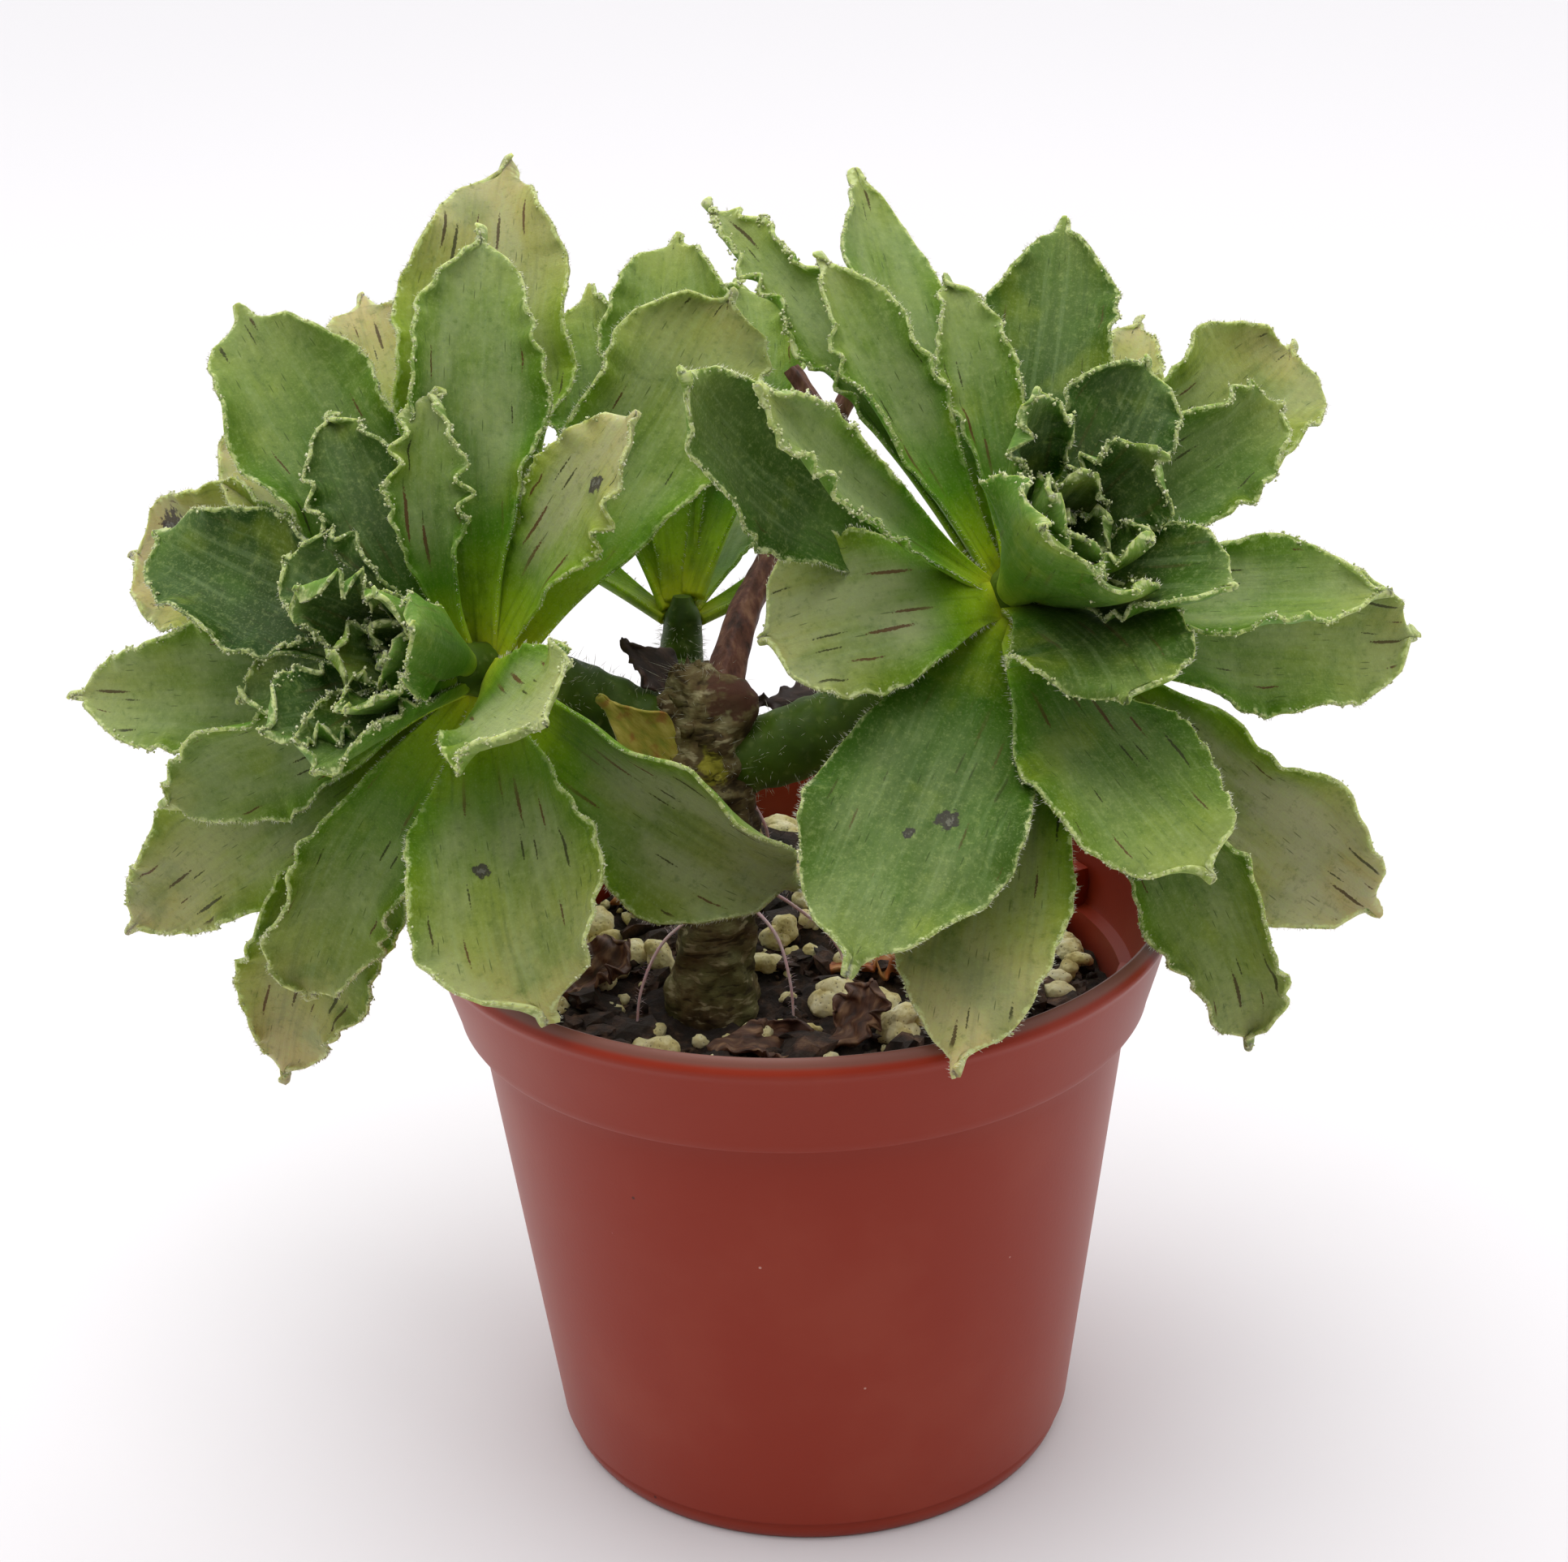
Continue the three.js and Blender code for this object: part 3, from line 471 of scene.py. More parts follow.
for x, y, size in CLUSTERS:
    inward = min(1, (SOIL_EDGE - 0.7 * size) / math.hypot(x, y))
    x, y = x * inward, y * inward
    cluster_spots.append((
        np.array([x, y, soil_height(x, y) + 0.32 * size]),
        size * np.array([1.15, 0.8 + 0.25 * draw.random(), 0.7 + 0.2 * draw.random()]),
        (draw.normal(0, 0.3), draw.normal(0, 0.3), 2 * math.pi * draw.random()),
    ))
scatter("pumice_clusters", [clustered_form(3, s) for s in (2, 6, 12, 19, 27)], cluster_spots,
        pumice)
scatter("small_pumice", [clustered_form(2, s) for s in (4, 9, 14)],
        soil_spots(120, (1.2, 4), 0.75, 0.3), pumice)

# ---- Stems ----
# One woody stem stands in the soil and bears three green branches. Its bark is a crust of old leaf
# scars, dry leaf bases and fibres; the branches are smooth green with short white hairs.
STEM_PATH = [
    (-12.5, -3.5, 46.3), (-12.2, -2.4, 63), (-11.9, -1.7, 71), (-10.9, -0.2, 81),
    (-10.8, 1.3, 90), (-12.2, 2.4, 97), (-12.1, 3.8, 104), (-11.4, 5.4, 108.5), (-11.2, 5.9, 110),
]
STEM_RADII = [5.6, 6.4, 5.8, 4.9, 5.2, 6.6, 5.9, 4.4, 1.5]


def path_points(path, steps):
    """Points at even steps along a smooth curve through the path (centripetal Catmull-Rom)."""
    points = np.array(path, float)
    points = np.vstack([2 * points[0] - points[1], points, 2 * points[-1] - points[-2]])
    found = []
    for t in np.linspace(0, 1, steps + 1):
        k = min(int(t * (len(path) - 1)), len(path) - 2)
        part = t * (len(path) - 1) - k
        p0, p1, p2, p3 = points[k:k + 4]
        gaps = [max(np.linalg.norm(b - a), 1e-6) ** 0.5 for a, b in ((p0, p1), (p1, p2), (p2, p3))]
        t1, t2, t3 = gaps[0], gaps[0] + gaps[1], sum(gaps)
        at = t1 + part * gaps[1]
        a1 = (t1 - at) / t1 * p0 + at / t1 * p1
        a2 = (t2 - at) / gaps[1] * p1 + (at - t1) / gaps[1] * p2
        a3 = (t3 - at) / gaps[2] * p2 + (at - t2) / gaps[2] * p3
        b1 = (t2 - at) / t2 * a1 + at / t2 * a2
        b2 = (t3 - at) / (t3 - t1) * a2 + (at - t1) / (t3 - t1) * a3
        found.append((t2 - at) / gaps[1] * b1 + (at - t1) / gaps[1] * b2)
    return np.array(found)


def path_frames(points):
    """Two directions square to the path at each point, carried along without twist."""
    along = np.gradient(points, axis=0)
    along /= np.linalg.norm(along, axis=1)[:, None]
    first = np.cross(along[0], (0.3, 0.9, 0.1))
    firsts = []
    for direction in along:
        first = first - direction * np.dot(first, direction)
        first = first / np.linalg.norm(first)
        firsts.append(first)
    firsts = np.array(firsts)
    return firsts, np.cross(along, firsts)


def widths_along(radii, steps):
    """A stem's radius at each of the points along its path."""
    return np.interp(np.linspace(0, len(radii) - 1, steps + 1), range(len(radii)), radii)


def stem_piece(name, path, radii, around, rings, material, relief=None):
    """A round stem: a grid rolled into a tube on a path.

    relief(t, turn, place) is added to the radius: t is the share of the path, turn the angle
    round it.
    """
    bpy.ops.mesh.primitive_grid_add(x_subdivisions=around, y_subdivisions=rings, size=2)
    tube = named(name)
    sheet = places_of(tube.data)
    points = path_points(path, rings)
    firsts, seconds = path_frames(points)
    widths = widths_along(radii, rings)
    placed = []
    for x, y, _ in sheet:
        k = int(round((y + 1) / 2 * rings))
        turn = math.pi * x
        way = firsts[k] * math.cos(turn) + seconds[k] * math.sin(turn)
        radius = widths[k]
        if relief:
            radius += relief(k / rings, turn, points[k] + way * radius)
        placed.append(points[k] + way * radius)
    move_to(tube.data, np.array(placed) * MM)
    bpy.ops.object.mode_set(mode="EDIT")
    bpy.ops.mesh.select_all(action="SELECT")
    bpy.ops.mesh.remove_doubles(threshold=0.0005 * MM)
    bpy.ops.mesh.fill_holes(sides=0)
    bpy.ops.mesh.normals_make_consistent(inside=False)
    bpy.ops.object.mode_set(mode="OBJECT")
    bpy.ops.object.shade_smooth_by_angle(angle=math.radians(60))
    tube.data.materials.append(material)
    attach(tube, "root")
    return tube


# The swelling that the flower stalk rises from.
KNOB = (-7.4, 1.2, 106.8)
# Unseeded, noise_vector would be moved by the clock each time that Blender starts.
noise.seed_set(1795551220)


def bark_relief(t, turn, place):
    """Swollen leaf scars with grooves between them, knobs and fibres, in millimetres."""
    p = Vector(place)
    # The scars are wider than they are high.
    near = noise.voronoi(Vector((p.x, p.y, 1.5 * p.z)) * 0.2 + noise.noise_vector(p * 0.2) * 0.5)[0]
    scar = min(0.4, near[1] - near[0]) * 1.5 - 0.3
    knob = 1.4 * noise.noise(p * 0.15 + Vector((3, 0, 0))) + 0.9 * noise.noise(p * 0.3)
    near_knob = math.exp(-((p - Vector(KNOB)).length / 3.4) ** 2)
    rough = scar + knob + 0.13 * noise.fractal(p * 0.9, 1.0, 2.0, 4)
    return rough * (1 - 0.6 * near_knob) + 2.9 * near_knob


# Young bark: brown-grey cork under a felt of pale fibres, olive low down, with a yellow-green and
# an orange place where the skin has split, and reddish brown under the flower stalk.
bark = blank_material("aeonium_bark")
here = node(bark, "TexCoord", out="Object")
height = node(bark, "SeparateXYZ", [here], "Z")
cork = node(bark, "TexNoise", {
    "Vector": here, "Scale": 1 / (5.5 * MM), "Detail": 4, "Roughness": 0.6,
})
rind = node(bark, "ValToRGB", [cork], stops=[
    (0.3, "#33271a"), (0.43, "#4f3f28"), (0.53, "#695938"), (0.62, "#7e7350"), (0.76, "#968d68"),
])
olive = node(bark, "TexNoise", {
    "Vector": here, "Scale": 1 / (6 * MM), "Detail": 3, "Roughness": 0.55,
})
rind = stain(bark, rind, "#5c6136", (height, 92 * MM, 76 * MM), (olive, 0.38, 0.6), 0.55)
ragged = node(bark, "TexNoise", {
    "Vector": here, "Scale": 1 / (2.5 * MM), "Detail": 3, "Roughness": 0.55,
})
# Hue, place, radius and strength of each ragged patch, in millimetres.
for hue, centre, radius, strength in (
    ("#4f2f24", KNOB, 4.2, 0.9),
    ("#a8a038", (-10.9, -3.5, 98.8), 2.3, 0.9),
    ("#9c4a20", (-14.2, -2.6, 96.4), 2.0, 0.85),
):
    away = node(bark, "VectorMath", [here, [c * MM for c in centre]], "Value", operation="DISTANCE")
    tattered = coverage(bark, (ragged, 0.3, 0.7, 0, radius * MM))
    away = node(bark, "Math", [away, tattered], operation="ADD")
    rind = stain(bark, rind, hue, (away, 1.6 * radius * MM, 1.1 * radius * MM, 0, strength))
# Pale wrinkles run round the stem, with dark cracks between them. The knob is smoother.
away = node(bark, "VectorMath", [here, [c * MM for c in KNOB]], "Value", operation="DISTANCE")
off_knob = coverage(bark, (away, 3.6 * MM, 5.2 * MM, 0.2, 1.0))
round_run = node(bark, "Mapping", {
    "Vector": here, "Scale": (0.5, 0.5, 1.7), "Rotation": (0.2, 0.15, 0),
})
wrinkle = node(bark, "TexNoise", {
    "Vector": round_run, "Scale": 1 / (1.7 * MM), "Detail": 3, "Roughness": 0.55,
})
rind = stain(bark, rind, "#b3a883", (wrinkle, 0.56, 0.66, 0, 0.6), off_knob)
rind = stain(bark, rind, "#2b1d12", (wrinkle, 0.46, 0.36, 0, 0.7), off_knob)
cracked = node(bark, "Bump", {
    "Height": coverage(bark, wrinkle, off_knob), "Strength": 0.7, "Distance": 0.5 * MM,
})
felt = node(bark, "TexNoise", {
    "Vector": here, "Scale": 1 / (0.8 * MM), "Detail": 3, "Roughness": 0.6,
})
cracked = node(bark, "Bump", {
    "Height": felt, "Strength": 0.5, "Distance": 0.25 * MM, "Normal": cracked,
})
finish_surface(bark, rind, cracked, roughness=0.85, specular_ior_level=0.2)
trunk = stem_piece("woody_stem", STEM_PATH, STEM_RADII, 96, 150, bark, bark_relief)
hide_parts("main_stem")


SPINDLE_SIDES = 3


def spindles(name, feet, tips, radii, material, middle=0.4):
    """Hairs or granules: a closed pointed form from each foot to its tip, thickest part way up."""
    feet, tips, radii = np.asarray(feet, float), np.asarray(tips, float), np.asarray(radii, float)
    along = tips - feet
    along /= np.maximum(np.linalg.norm(along, axis=1), 1e-9)[:, None]
    helper = np.where(np.abs(along[:, 2:3]) > 0.8, (1.0, 0.0, 0.0), (0.0, 0.0, 1.0))
    first = np.cross(along, helper)
    first /= np.linalg.norm(first, axis=1)[:, None]
    second = np.cross(along, first)
    waist = feet + (tips - feet) * middle
    rings = [feet, tips]
    for k in range(SPINDLE_SIDES):
        turn = 2 * math.pi * k / SPINDLE_SIDES
        rings.append(waist + (first * math.cos(turn) + second * math.sin(turn)) * radii[:, None])
    places = np.stack(rings, axis=1).reshape(-1, 3)
    faces = []
    for k in range(SPINDLE_SIDES):
        this, following = 2 + k, 2 + (k + 1) % SPINDLE_SIDES
        faces += [(0, following, this), (1, this, following)]
    each = SPINDLE_SIDES + 2
    starts = np.arange(len(feet))[:, None, None] * each
    return mesh_piece(name, places * MM, (np.array(faces)[None] + starts).reshape(-1, 3),
                      material)


PATH_STEPS = 200


def stem_hairs(path, radii, number, length, seed, droop, span):
    """Feet and tips of hairs that stand out from a round stem, in millimetres."""
    pick = np.random.default_rng(seed)
    points = path_points(path, PATH_STEPS)
    firsts, seconds = path_frames(points)
    widths = widths_along(radii, PATH_STEPS)
    where = (PATH_STEPS * (span[0] + (span[1] - span[0]) * pick.random(number))).astype(int)
    turn = 2 * math.pi * pick.random(number)
    way = firsts[where] * np.cos(turn)[:, None] + seconds[where] * np.sin(turn)[:, None]
    feet = points[where] + way * (widths[where] - 0.15)[:, None]
    lean = pick.normal(0, droop, (number, 3))
    tips = feet + (way + lean) * (length * (0.5 + 0.7 * pick.random(number)))[:, None]
    return feet, tips


# Plant hair: clear and white, so thin that it only shows where light catches it.
hair = blank_material("plant_hair")
finish_surface(hair, "#e6e4cf", roughness=0.5)
feet, tips = stem_hairs(STEM_PATH, [r + 0.3 for r in STEM_RADII], 420, 2.0, 4, 0.5, (0.5, 1.0))
spindles("stem_hairs", feet, tips, np.full(len(feet), 0.018), hair)
# Papery ends of old leaf bases that still cling to the stem.
draw = np.random.default_rng(6)
flake_spots = []
points, widths = path_points(STEM_PATH, PATH_STEPS), widths_along(STEM_RADII, PATH_STEPS)
firsts, seconds = path_frames(points)
for _ in range(34):
    k, turn = int(PATH_STEPS * (0.3 + 0.7 * draw.random())), 2 * math.pi * draw.random()
    way = firsts[k] * math.cos(turn) + seconds[k] * math.sin(turn)
    lie = math.atan2(way[1], way[0])
    size = 1.6 + 2.4 * draw.random()
    flake_spots.append((points[k] + way * (widths[k] + 0.2), np.array([0.2, 0.75, 0.6]) * size,
                        (draw.normal(0, 0.8), draw.normal(0, 0.5), lie)))
flakes = scatter("leaf_base_flakes", [lump_form(2, 0.9, s) for s in (4, 13, 21)], flake_spots,
                 bark)
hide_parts("main_stem")

# Each shoot: the middle of its rosette and its axis, its branch's path and radii, the radius of
# the stem tip that bears the leaves, and a seed for what is random in it.
LEFT = {
    "name": "left", "centre": (-37, -2, 112), "axis": (-0.6, -0.68, 0.43),
    "branch": [(-14, 3, 100), (-21, 4.6, 102.5), (-28, 4.4, 106)],
    "radii": [4.4, 4.7, 4.8], "core": 4.4, "seed": 3,
}
RIGHT = {
    "name": "right", "centre": (26, -3, 119), "axis": (0.44, -0.6, 0.67),
    "branch": [(-10, 3, 97), (-3, 3, 98.5), (7, 2, 103), (16, 1, 109)],
    "radii": [4.8, 5, 5, 4.9], "core": 4.6, "seed": 5,
}
CENTRE = {
    "name": "centre", "centre": (-15, 20, 110), "axis": (0.08, 0.09, 0.99),
    "branch": [(-12.5, 7, 102), (-13.6, 13, 103.5)],
    "radii": [3.2, 3.2], "core": 3.2, "seed": 9,
}


def rosette_axes(place):
    """The rosette's axis, and the two directions square to it: uphill, and left of it."""
    axis = np.array(place["axis"], float)
    axis /= np.linalg.norm(axis)
    uphill = np.array([0, 0, 1.0]) - axis * axis[2]
    uphill /= np.linalg.norm(uphill)
    return axis, uphill, np.cross(axis, uphill)


def on_axis(place, height):
    return np.array(place["centre"], float) + rosette_axes(place)[0] * height


# Green stem: the skin of this year's growth, satin, darker in patches, with a ring at each scar.
# Its greens are also set darker as painted shade, for the branches lying in the leaves' shadow.
green_stem = blank_material("green_stem")
here = node(green_stem, "TexCoord", out="Object")
tone = node(green_stem, "TexNoise", {
    "Vector": here, "Scale": 1 / (9 * MM), "Detail": 3, "Roughness": 0.55,
})
skin = node(green_stem, "ValToRGB", [tone], stops=[
    (0.3, "#2d420b"), (0.5, "#425910"), (0.7, "#607526"),
])
fleck = node(green_stem, "TexNoise", {
    "Vector": here, "Scale": 1 / (1.4 * MM), "Detail": 3, "Roughness": 0.55,
})
skin = stain(green_stem, skin, "#93a05a", (fleck, 0.55, 0.75, 0, 0.25))
dimple = node(green_stem, "TexNoise", {
    "Vector": here, "Scale": 1 / (0.9 * MM), "Detail": 3, "Roughness": 0.55,
})
skinned = node(green_stem, "Bump", {"Height": dimple, "Strength": 0.3, "Distance": 0.2 * MM})
finish_surface(green_stem, skin, skinned, roughness=0.5, specular_ior_level=0.2,
               subsurface_weight=0.15, subsurface_scale=1.0 * MM)


def branch_relief(t, turn, place):
    rings = 0.12 * math.sin(place[0] * 1.9 + 0.5 * math.sin(turn))
    return rings + 0.25 * noise.noise(Vector(place) * 0.5)


for place, top in ((LEFT, 14), (RIGHT, 14), (CENTRE, 4.5)):
    tip = [on_axis(place, -6 + share * (top + 6)) for share in (0, 0.4, 0.75, 1)]
    path = [*place["branch"], *tip]
    radii = [*place["radii"], place["core"], place["core"] * 0.9, place["core"] * 0.75, 1.2]
    branch = stem_piece(f"{place['name']}_branch", path, radii, 40, 90, green_stem,
                        branch_relief)
    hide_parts(f"{place['name']}_rosette")
    feet, tips = stem_hairs(path, radii, 700, 1.3, place["seed"], 0.3, (0.0, 0.75))
    spindles(f"{place['name']}_branch_hairs", feet, tips, np.full(len(feet), 0.03), hair)

# ---- Leaves ----
# Thick soft blades, narrow at the foot and broad past the middle, channelled and curled. Their
# margins are waved and crisped, with a pale fringe of granules and short hairs.

# Each row: turn about the rosette's axis from its uphill side, rise, length, width, curl, sway,
# roll, cup (half the angle of the channel), height on the stem tip, bluntness. Degrees and
# millimetres.
LEFT_LEAVES = [
    (18, 10, 72, 26, -35, 11, 35, 40, 1, 0.3),
    (6, 22, 56, 20, -38, 19, 50, 58, 4, 0.4),
    (54, 20, 60, 24, -10, -7, 40, 45, 3, 0.6),
    (71, 13, 63, 18, -20, -5, 25, 55, 0, 0.5),
    (45, 2, 69, 20, -20, 10, 45, 55, 0, 0.6),
    (80, 13, 71, 25, -20, 18, 0, 50, 0, 0.9),
    (111, 22, 68, 20, -25, -10, -5, 50, 2, 0.1),
    (125, 24, 50, 18, -25, 0, -45, 62, 4, 0.5),
    (133, 13, 76, 20, -30, -5, -35, 45, 1, 0.2),
    (157, 12, 56, 18, -45, -8, -50, 58, 3, 0.8),
    (149, 3, 80, 21, -40, -2, -45, 52, 0, 0.2),
    (219, 21, 48, 28, -25, 1, -28, 45, 3, 0.8),
    (243, -8, 47, 25, -52, 9, 20, 56, 1, 0.6),
    (260, 42, 39, 20, -15, 12, -30, 22, 5, 0.9),
    (334, 14, 38, 16, -20, 0, -5, 25, 4, 0.8),
    (345, -15, 59, 23, -15, 25, 40, 40, 1, 0.8),
    (87, 38, 49, 20, -40, -9, 20, 50, 6, 0.7),
    (41, 32, 37, 15, -40, 6, 35, 58, 8, 0.4),
    (10, 40, 34, 11, -52, 3, 35, 62, 8, 0.6),
    (66, 45, 24, 14, -30, 10, 10, 50, 10, 0.8),
    (185, 62, 26, 17, -10, 0, 0, 60, 8, 0.9),
    (110, 45, 29, 11, -42, 10, 0, 58, 8, 0.6),
]
RIGHT_LEAVES = [
    (13, 9, 67, 11, -35, -12, -25, 78, 2, 0.5),
    (20, 18, 48, 13, -22, -22, -20, 68, 4, 0.6),
    (3, 9, 63, 16, -20, -25, 8, 32, 3, 0.3),
    (355, 26, 40, 11, -32, -7, -22, 55, 6, 0.7),
    (328, 18, 55, 20, -20, -5, -28, 45, 3, 0.2),
    (300, 10, 58, 13, -28, 14, -18, 48, 1, 0.5),
    (286, 26, 59, 22, -34, 7, -5, 52, 3, 0.9),
    (279, 37, 43, 16, -33, 8, 10, 58, 6, 0.9),
    (239, 30, 46, 17, 5, 2, -8, 60, 3, 0.5),
    (245, 5, 65, 23, -10, 14, 32, 45, 1, 0.6),
    (165, 58, 31, 22, -36, -16, 24, 8, 5, 0.9),
    (84, 17, 34, 23, -64, -7, 4, 10, 4, 0.9),
    (54, 5, 59, 18, 45, 6, -20, 35, 1, 0.8),
    (61, 22, 51, 12, 16, -6, -5, 60, 4, 0.8),
    (129, 4, 57, 27, -12, 1, 32, 8, 3, 0.6),
    (151, -3, 62, 23, 4, -12, 36, 8, 1, 0.3),
    (165, 20, 46, 25, 0, 20, 6, 8, 3, 0.8),
    (206, 6, 64, 22, -20, 18, 52, 50, 0, 0.8),
    (186, 16, 70, 19, -72, 24, 60, 72, 0, 0.5),
    (311, 41, 31, 16, -28, 0, -5, 50, 8, 0.8),
    (100, 62, 32, 20, 0, 0, 10, 45, 7, 0.9),
    (212, 60, 28, 18, -5, -2, 0, 45, 7, 0.9),
]
CENTRE_LEAVES = [
    (237, 66, 57, 20, -25, -20, -12, 58, 3, 0.8),
    (258, 53, 54, 18, -14, -26, -38, 66, 2, 0.5),
    (190, 62, 54, 18, -35, 45, 15, 72, 4, 0.6),
    (198, 23, 32, 11, -5, 20, -18, 36, 2, 0.5),
    (285, 24, 44, 14, -25, 0, 0, 50, 1, 0.6),
    (165, 18, 42, 14, -25, 0, 0, 50, 1, 0.6),
]

SPIRAL = 137.5  # degrees from each leaf to the next younger one


def heart_rows(number, first_turn):
    """The young leaves that crowd the heart, on the plant's spiral."""
    return [
        (first_turn + SPIRAL * k, 50 + 4 * k, 26 - 2.2 * k, 15 - 1.1 * k, 22, 0, 0, 60,
         9 + 0.6 * k, 0.9)
        for k in range(number)
    ]


def ease(start, end, x):
    t = np.clip((x - start) / (end - start), 0, 1)
    return t * t * (3 - 2 * t)


def blade_width(u, blunt):
    """A leaf's width at u of its length, as a share of its greatest width."""
    widest = 0.56 + 0.12 * blunt
    q = np.clip((u - widest) / (1 - widest), 0, 1)
    narrow = 0.27 + 0.73 * np.sin(math.pi / 2 * np.minimum(u / widest, 1) ** 1.15) ** 1.6
    round_end = (1 - q ** (1.55 + 0.6 * blunt)) ** (1.02 - 0.32 * blunt)
    # The last part draws in to a small hooked point.
    start = 0.915
    q = (start - widest) / (1 - widest)
    shoulder = (1 - q ** (1.55 + 0.6 * blunt)) ** (1.02 - 0.32 * blunt)
    point = shoulder * (np.clip(1 - u, 0, 1) / (1 - start)) ** 2.1
    return np.where(u < widest, narrow, np.where(u < start, round_end, point))


class Blade:
    """One leaf's form: where its spine runs, and the place of any spot on its middle surface."""

    STEPS = 240
    WAVE_LENGTH = 17  # millimetres from one broad wave of the margin to the next

    def __init__(self, base, out, up, row, phase, crisp=1.0, wave=0.05, number=0):
        rise, self.length, self.width, curl, sway, roll, self.cup, self.blunt = row
        self.phase, self.crisp, self.wave, self.number = phase, crisp, wave, number
        self.u = np.linspace(0, 1, self.STEPS + 1)
        side = np.cross(up, out)
        angle = np.radians(rise) + np.radians(curl) * self.u ** 1.3
        turn = np.radians(sway) * self.u
        level = np.outer(np.cos(turn), out) + np.outer(np.sin(turn), side)
        along = np.cos(angle)[:, None] * level + np.outer(np.sin(angle), up)
        normal = -np.sin(angle)[:, None] * level + np.outer(np.cos(angle), up)
        across = np.cross(normal, along)
        twist = np.radians(roll) * np.minimum(1, self.u / 0.5)
        self.across = np.cos(twist)[:, None] * across + np.sin(twist)[:, None] * normal
        self.normal = np.cos(twist)[:, None] * normal - np.sin(twist)[:, None] * across
        steps = along * (self.length / self.STEPS)
        self.spine = base + np.vstack([np.zeros(3), np.cumsum(steps, axis=0)[:-1]])

    def at(self, values, u):
        return np.stack([np.interp(u, self.u, values[:, k]) for k in range(3)], axis=-1)

    def half_width(self, u):
        ragged = 1 + 0.05 * ease(0.3, 0.6, u) * np.sin(11 * u + self.phase * 2)
        # The point keeps a rounded nib nearly a millimetre thick.
        nib = 0.95 * np.sqrt(np.clip(1 - ((u - 0.93) / 0.07) ** 2, 0.04, 1))
        nib = nib * np.minimum(1, self.width / 16)
        return np.maximum(nib, self.width / 2 * blade_width(u, self.blunt) * ragged)

    def place(self, u, v):
        """Place, surface normal and outward direction at u along and v (-1 to 1) across."""
        half = self.half_width(u)
        # The crisped margin: tight curls that fade toward the foot, each side with its own rhythm.
        side = np.sign(v)
        reach = ease(0.22, 0.6, u) * self.crisp
        run = u * self.length * (1 + 1.1 * max(0, 1 - self.length / 42))
        beat = self.phase * 3 + 2.1 * side
        tight = np.sin(run * 2.5 + beat + 1.9 * np.sin(run * 0.67 + beat))
        medium = np.sin(run * 0.85 + 1.7 * beat + 2.2 * np.sin(run * 0.33 + beat))
        uneven = 0.55 + 0.45 * np.sin(run * 0.31 + 2.6 * beat)
        jag = np.sin(run * 1.1 + 2 * beat + 1.5 * np.sin(run * 0.5)) + 0.6 * tight * uneven
        notch = 1 + (0.006 * ease(0.3, 0.6, u) + 0.028 * reach) * jag * np.abs(v) ** 3
        half = half * notch
        arc = max(math.radians(abs(self.cup)), 0.02)
        swing = arc * v
        radius = half / arc
        across, normal = self.at(self.across, u), self.at(self.normal, u)
        bend = 1 if self.cup >= 0 else -1
        local = normal * np.cos(swing)[..., None] - bend * across * np.sin(swing)[..., None]
        outward = across * np.cos(swing)[..., None] + bend * normal * np.sin(swing)[..., None]
        lift = radius * (1 - np.cos(swing)) * bend
        point = self.at(self.spine, u) + across * (radius * np.sin(swing))[..., None]
        point = point + normal * lift[..., None]
        wave = self.wave * self.width * ease(0.2, 0.5, u) * np.abs(v) ** 2.5
        wave = wave * np.sin(2 * math.pi * self.length / self.WAVE_LENGTH * u + self.phase + v)
        crimp = 1.15 * medium * np.abs(v) ** 4 + 0.55 * uneven * tight * np.abs(v) ** 8
        wave = wave + reach * crimp
        furrow = -0.22 * np.exp(-(v * 5) ** 2) * ease(0.02, 0.3, u) * ease(1.0, 0.7, u)
        point = point + local * (wave + furrow * min(1.0, self.width / 20))[..., None]
        return point, local, outward * side[..., None]


# Each leaf has its own number, up to NUMBERS_EACH to a rosette, and its skin is read NUMBER_STEP
# millimetres away from that of the leaf before. Its foot stands FOOT_REACH millimetres from the
# rosette's axis.
NUMBERS_EACH, NUMBER_STEP, FOOT_REACH = 40, 31.7, 2.5


def leaf_from_row(place, row, index, crisp):
    turn, rise, length, width, curl, sway, roll, cup, height, blunt = row
    axis, uphill, leftward = rosette_axes(place)
    out = uphill * math.cos(math.radians(turn)) + leftward * math.sin(math.radians(turn))
    base = on_axis(place, height) + out * FOOT_REACH
    return Blade(base, out, axis, (rise, length, width, curl, sway, roll, cup, blunt),
                 1.7 * index, crisp, number=NUMBERS_EACH * place["seed"] + index)


def add_values(mesh, name, values):
    """Keeps one number for each vertex, for the material to read."""
    mesh.attributes.new(name, "FLOAT", "POINT").data.foreach_set("value", np.asarray(values, float))


